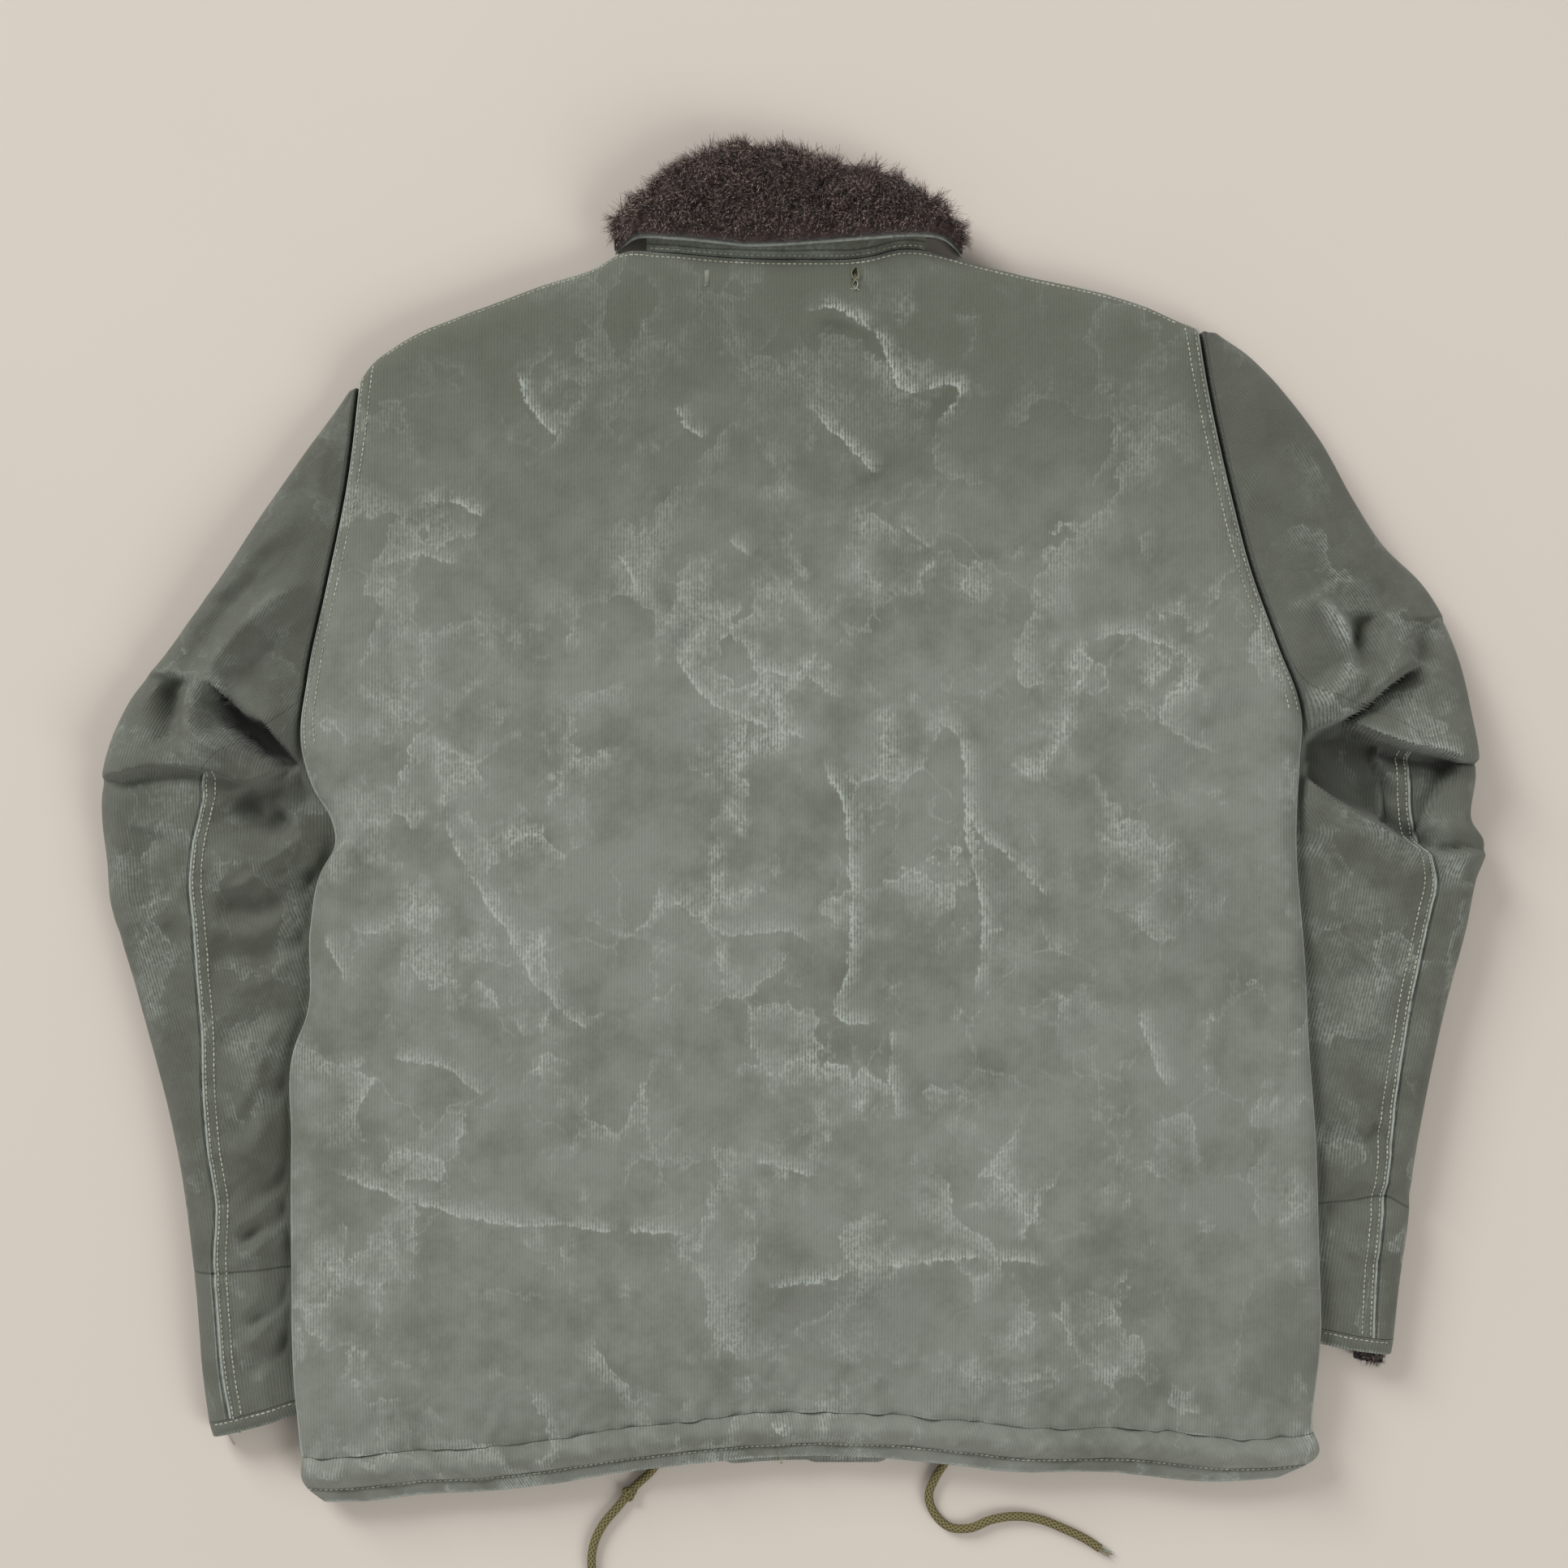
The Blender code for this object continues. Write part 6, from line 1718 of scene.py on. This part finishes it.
class JACKET_OT_fronts(bpy.types.Operator):
    """Make the two fronts under the back, their fly and the zip's tape"""

    bl_idname = "jacket.fronts"
    bl_label = "Fronts"

    def execute(self, context):
        for side, left, width in (("left", True, 0.30), ("right", False, 0.27)):
            piece = settle(front_panel("front_panel_" + side, left), BODY, "body_cloth", "front_" + side)
        fly = strip("fly", FLY_WIDTH / 2.0, 0.0, FLY_THICKNESS, -368.0, 312.0)
        settle(fly, BODY, "body_cloth", "front_fly")
        tape = strip("zip_tape", ZIP_WIDTH / 2.0, FLY_THICKNESS + SEAM_GAP, ZIP_THICKNESS, -352.0, 308.0)
        settle(tape, SLEEVES, "body_cloth", "front_zip")
        return {"FINISHED"}


class JACKET_OT_back(bpy.types.Operator):
    """Make the back panel, its creases and its worn bloom"""

    bl_idname = "jacket.back"
    bl_label = "Back"

    def execute(self, context):
        cell = context.scene.jacket_sizes.cell / MM
        across, up = np.meshgrid(spaced(HEM_WIDTH, cell, 1.2, 15.0), spaced(690.0, cell, 1.3, 8.0))
        left_x, right_x = body_edges(up, BAND_WIDTH)
        x = left_x + across * (right_x - left_x)
        y, top_y = body_lengthwise(across, up, BAND_WIDTH)
        z = back_height(x, y, left_x, right_x, top_y, up, across)
        from_side = np.minimum(x - left_x, right_x - x)
        wear_and_shade = 0.55 * np.max(list(patches(x, y, RUBBED_PATCHES)), axis=0)
        wear_and_shade = wear_and_shade + 0.3 * np.clip(crease_lift(x, y, BACK_CREASES) / 1.5, 0.0, 1.0)
        wear_and_shade = np.maximum(wear_and_shade, edge_wear(from_side, x, y, 12))
        wear_and_shade = np.maximum(wear_and_shade, 0.8 * edge_wear(top_y - y, x, y, 13))
        wear_and_shade = wear_and_shade + 0.25 * armhole_share(up) * ease((13.0 - from_side) / 5.0)
        wear_and_shade = np.maximum(wear_and_shade, 0.5 * edge_wear(up * 640.0, x, y, 16))
        distance, strength = nearest_mark(x, y, WEAR_MARKS)
        y = y + seam_wander(x, up * 635.0)
        # The listed patches go below 0 and are painted darker.
        wear_and_shade = wear_and_shade - sum(patches(x, y, DARKENED_PATCHES))
        piece = lidded_wall("back_panel", np.stack([x, y, z], -1), PLANE, np.stack([x, y], -1), wear_and_shade)
        add_edge(piece, "edge", from_side)
        add_attribute(piece, "mark", distance * MM)
        add_attribute(piece, "mark_share", strength)
        settle(piece, BODY, "body_cloth", "back")
        return {"FINISHED"}


class JACKET_OT_hem(bpy.types.Operator):
    """Make the drawn hem casing of the back and the hem bands of the fronts"""

    bl_idname = "jacket.hem"
    bl_label = "Hem"

    def execute(self, context):
        below = np.concatenate(((SEAM_GAP, 1.2, 2.1), np.linspace(3.2, 16.5, 9), np.linspace(17.5, 21.5, 6),
                                np.linspace(22.5, BAND_WIDTH, 6)))
        across, below = np.meshgrid(spaced(HEM_WIDTH, 1.5, 1.0, 12.0), below)
        x, y = hem_place(across, below)
        y = y + seam_wander(x, below)
        height = hem_height(across, below)
        wear_and_shade = 0.55 * edge_wear(below, x, y, 17)
        wear_and_shade = np.maximum(wear_and_shade, 0.9 * edge_wear(BAND_WIDTH - below, x, y, 18))
        lifted = height - HEM_HEIGHT + 8.0 * ease((below - 6.0) / 20.0)
        wear_and_shade = wear_and_shade + 0.4 * np.clip((lifted - 1.0) / 3.0, 0.0, 1.0)
        # Painted shade along the two seam grooves of the casing: these values below 0 mix towards the
        # near-black folds colour.
        wear_and_shade = wear_and_shade - 0.45 * dip(below - LOWER_SEAM, 1.0) - 0.35 * dip(below, 1.0)
        piece = slab("hem_band", x, y, height, hem_under(below) + SEAM_GAP, wear_and_shade, (across * HEM_WIDTH, below))
        settle(piece, BODY, "body_cloth", "hem_band_back")
        for side, left, width in (("left", True, 0.31), ("right", False, 0.27)):
            band = settle(front_band("hem_band_" + side, left), BODY, "body_cloth", "hem_band_front_" + side)
        return {"FINISHED"}


class JACKET_OT_sleeves(bpy.types.Operator):
    """Make the sleeves with their elbow folds, and the turned cuffs"""

    bl_idname = "jacket.sleeves"
    bl_label = "Sleeves"

    def execute(self, context):
        for (side, cuts), sleeve in zip(SLEEVE_CUTS.items(), sleeves()):
            over, under, turned = (
                settle(make(sleeve, piece + side), SLEEVES, "sleeve_cloth", node + side)
                for make, piece, node in ((sleeve_top, "top_sleeve_", "sleeve_top_"),
                                          (sleeve_under, "under_sleeve_", "sleeve_under_"),
                                          (cuff, "turned_cuff_", "cuff_")))
        return {"FINISHED"}


class JACKET_OT_collar(bpy.types.Operator):
    """Make the turned collar: its pile side, its cloth side and its stand"""

    bl_idname = "jacket.collar"
    bl_label = "Collar"

    def execute(self, context):
        leaf = settle(collar_leaf("collar_pile_backing"), PILE, "pile", "collar_leaf")
        cloth = settle(collar_cloth("collar_cloth_side"), BODY, "body_cloth", "collar_cloth")
        stand = settle(collar_stand("collar_stand_strip"), BODY, "body_cloth", "collar_stand")
        lining = settle(cuff_pile(sleeves()[1], "cuff_pile_backing"), PILE, "pile", "cuff_pile_right")
        return {"FINISHED"}


def pile_lock():
    """One lock of pile a unit long: nine tapering, bending hairs with a tip share along them."""
    rng = np.random.default_rng(21)
    points, faces, tips = [], [], []
    for number in range(9):
        turn = 2.0 * np.pi * number / 9.0 + rng.uniform(-0.4, 0.4)
        root = 0.10 * rng.uniform(0.3, 1.0) * np.array((np.cos(turn), np.sin(turn), 0.0))
        lean = rng.uniform(0.05, 0.34) * np.array((np.cos(turn), np.sin(turn), 0.0))
        bend = np.array((rng.uniform(-0.25, 0.25), 0.42, -0.16))
        tall = rng.uniform(0.7, 1.0)
        face_way = np.array((-np.sin(turn + 0.8), np.cos(turn + 0.8), 0.0))
        first = len(points)
        for share in (0.0, 0.35, 0.7, 1.0):
            middle = root + (lean + (0.0, 0.0, 1.0)) * share * tall + bend * share ** 2
            half = 0.02 * (1.0 - 0.8 * share) * face_way
            points.extend((tuple(middle - half), tuple(middle + half)))
            tips.extend((share, share))
        faces.extend((a, a + 1, a + 3, a + 2) for a in range(first, first + 6, 2))
    mesh = bpy.data.meshes.new("pile_lock")
    mesh.from_pydata(points, [], faces)
    lock = placed("pile_lock", mesh)
    add_attribute(lock, "tip", np.array(tips))
    return lock


class JACKET_OT_pile(bpy.types.Operator):
    """Grow the brushed locks of pile on the collar and below the right cuff"""

    bl_idname = "jacket.pile"
    bl_label = "Pile"

    def execute(self, context):
        sizes = context.scene.jacket_sizes
        lock = pile_lock()
        for name, source, share in (("collar_pile", "collar_pile_backing", 1.0),
                                    ("cuff_pile", "cuff_pile_backing", 0.45)):
            settings = {"Density": sizes.pile_density, "Length": share * sizes.pile_length,
                        "Lean": sizes.pile_lean, "Seed": sizes.pile_seed}
            piece = grown(name, bpy.data.objects[source], pile_tree, settings, lock, finish(PILE))
            settle(piece, PILE, "pile")
        bpy.data.objects.remove(lock, do_unlink=True)
        return {"FINISHED"}


def stitch_shape(length, width):
    """One sewn stitch, a short rounded bead that lies along its own Z."""
    sides = 6
    points, faces = [], []
    rings = ((-0.5, 0.35), (-0.34, 0.95), (0.34, 0.95), (0.5, 0.35))
    for along, girth in rings:
        for turn in np.arange(sides) * 2.0 * np.pi / sides:
            points.append((0.5 * width * girth * np.cos(turn), 0.42 * width * girth * np.sin(turn),
                           along * length))
    for first in range(0, (len(rings) - 1) * sides, sides):
        for number in range(sides):
            a, b = first + number, first + (number + 1) % sides
            faces.append((a, b, b + sides, a + sides))
    faces.append(tuple(range(sides))[::-1])
    faces.append(tuple(range((len(rings) - 1) * sides, len(rings) * sides)))
    mesh = bpy.data.meshes.new("stitch_shape")
    mesh.from_pydata(points, [], faces)
    mesh.shade_smooth()
    return placed("stitch_shape", mesh)


def cloth_surface():
    """Search tree over every cloth piece that stitches lie on."""
    points, faces = [], []
    for name in STITCHED_PIECES:
        mesh = bpy.data.objects[name].data
        first = len(points)
        points.extend(vertex.co.copy() for vertex in mesh.vertices)
        faces.extend([first + corner for corner in face.vertices] for face in mesh.polygons)
    return BVHTree.FromPolygons(points, faces)


def seated(surface, route, raised):
    """Route in millimetres laid on the cloth from above, in metres, a little raised."""
    laid = []
    for x, y, _ in moved_metres(np.column_stack((route, np.zeros(len(route))))):
        hit = surface.ray_cast(Vector((x, y, 0.2)), Vector((0.0, 0.0, -1.0)))[0]
        if hit is not None:
            laid.append((x, y, hit.z + raised))
    return laid


def stitch_lines():
    """Every row of stitches as a route in millimetres."""
    up = np.linspace(0.655, 0.992, 160)
    left_x, right_x = body_edges(up, BAND_WIDTH)
    lines = []
    for inset in ARMHOLE_ROWS:
        for x in (left_x + inset, right_x - inset):
            across = (x - left_x) / (right_x - left_x)
            lines.append(np.column_stack((x, body_lengthwise(across, up, BAND_WIDTH)[0])))
    across = np.linspace(0.03, 0.97, 240)
    left_x, right_x = body_edges(1.0, BAND_WIDTH)
    x = left_x + across * (right_x - left_x)
    lines.append(np.column_stack((x, body_lengthwise(across, 1.0, BAND_WIDTH)[1] - 3.0)))
    across = np.linspace(0.004, 0.996, 300)
    lines.append(np.column_stack(hem_place(across, LOWER_SEAM + 0.0 * across)))
    for sleeve in sleeves():
        for inset in SLEEVE_ROWS:
            distance = sleeve.seam - inset
            route = sleeve.place(distance[:, None])[:, 0]
            lines.append(route[(distance > sleeve.start + 3.0) & (sleeve.seam_shown[:, 0] > 0.5)])
        reach = TUCK + 3.0 + np.linspace(0.0, 1.0, 40)[:, None] * (sleeve.width[-1] - TUCK - 9.0)
        lines.append(sleeve.inner[-1] + reach * sleeve.along[-1] + (0.0, -1.9))
    x = np.linspace(STAND_ENDS[0] + 3.0, STAND_ENDS[1] - 3.0, 60)
    lines.append(np.column_stack((x, neck_line(x) + 2.6)))
    return lines


class JACKET_OT_stitching(bpy.types.Operator):
    """Sew every visible seam: armholes, elbows, cuffs, hem, neck and the bar tacks"""

    bl_idname = "jacket.stitching"
    bl_label = "Stitching"

    def execute(self, context):
        sizes = context.scene.jacket_sizes
        surface = cloth_surface()
        rows = [seated(surface, line, 0.28 * MM) for line in stitch_lines()]
        tacks = []
        for x, low, high in BAR_TACKS:
            for y in low + TACK_STEP * np.arange(int((high - low) / TACK_STEP)):
                tacks.append(seated(surface, np.array([(x - 0.4, y), (x + 0.4, y + 0.2)]), 0.1 * MM))
        shape = stitch_shape(0.72 * sizes.stitch_pitch, sizes.stitch_width)
        for name, finish_name, lines, pitch in (("stitches", THREAD, rows, sizes.stitch_pitch),
                                                ("bar_tacks", "cotton_thread_unpicked", tacks, 0.6 * MM)):
            curve = bpy.data.curves.new(name, "CURVE")
            curve.dimensions = "3D"
            curve.twist_mode = "Z_UP"
            for line in lines:
                if len(line) < 2:
                    continue
                spline = curve.splines.new("POLY")
                spline.points.add(len(line) - 1)
                for point, place in zip(spline.points, line):
                    point.co = (*place, 1.0)
            source = placed(name + "_routes", curve)
            settings = {"Pitch": pitch, "Wander": 0.12, "Seed": 3}
            piece = grown(name, source, stitch_tree, settings, shape, finish(finish_name))
            bpy.data.objects.remove(source, do_unlink=True)
            settle(piece, finish_name)
        bpy.data.objects.remove(shape, do_unlink=True)
        return {"FINISHED"}


class JACKET_OT_threads(bpy.types.Operator):
    """Leave the few loose threads at the left cuff and the middle of the hem"""

    bl_idname = "jacket.threads"
    bl_label = "Loose threads"

    def execute(self, context):
        for name, finish_name, routes in (("loose_threads_dark", THREAD, DARK_THREADS),
                                          ("loose_thread_pale", "cotton_strands_frayed", PALE_THREADS)):
            routes = [smooth_route(route, 0.8) for route in routes]
            parts = [tube("thread", route, np.full(len(route), 0.3), 6) for route in routes]
            settle(joined(name, parts), finish_name)
        return {"FINISHED"}


class JACKET_PT_panel(bpy.types.Panel):
    """Sizes and colours of the jacket, and the button that makes each piece"""

    bl_idname = "JACKET_PT_panel"
    bl_label = "Deck Jacket"
    bl_space_type = "VIEW_3D"
    bl_region_type = "UI"
    bl_category = "Jacket"

    def draw(self, context):
        for group in (context.scene.jacket_sizes, context.scene.jacket_colours):
            box = self.layout.box()
            for key in group.__annotations__:
                box.prop(group, key)
        for operator in OPERATORS:
            self.layout.operator(operator.bl_idname)


OPERATORS = (
    JACKET_OT_stage, JACKET_OT_drawstring, JACKET_OT_fronts, JACKET_OT_back, JACKET_OT_hem,
    JACKET_OT_sleeves, JACKET_OT_collar, JACKET_OT_pile, JACKET_OT_stitching, JACKET_OT_threads)
CLASSES = (JacketSizes, JacketColours, JACKET_PT_panel, *OPERATORS)


def register():
    """Adds the classes and the scene's two groups of settings."""
    for item in CLASSES:
        bpy.utils.register_class(item)
    bpy.types.Scene.jacket_sizes = PointerProperty(type=JacketSizes)
    bpy.types.Scene.jacket_colours = PointerProperty(type=JacketColours)


def unregister():
    """Takes the settings and the classes away again."""
    del bpy.types.Scene.jacket_colours
    del bpy.types.Scene.jacket_sizes
    for item in reversed(CLASSES):
        bpy.utils.unregister_class(item)


def main():
    """Makes every piece in order."""
    register()
    for operator in OPERATORS:
        getattr(bpy.ops.jacket, operator.bl_idname.split(".")[1])()


if __name__ == "__main__":
    main()
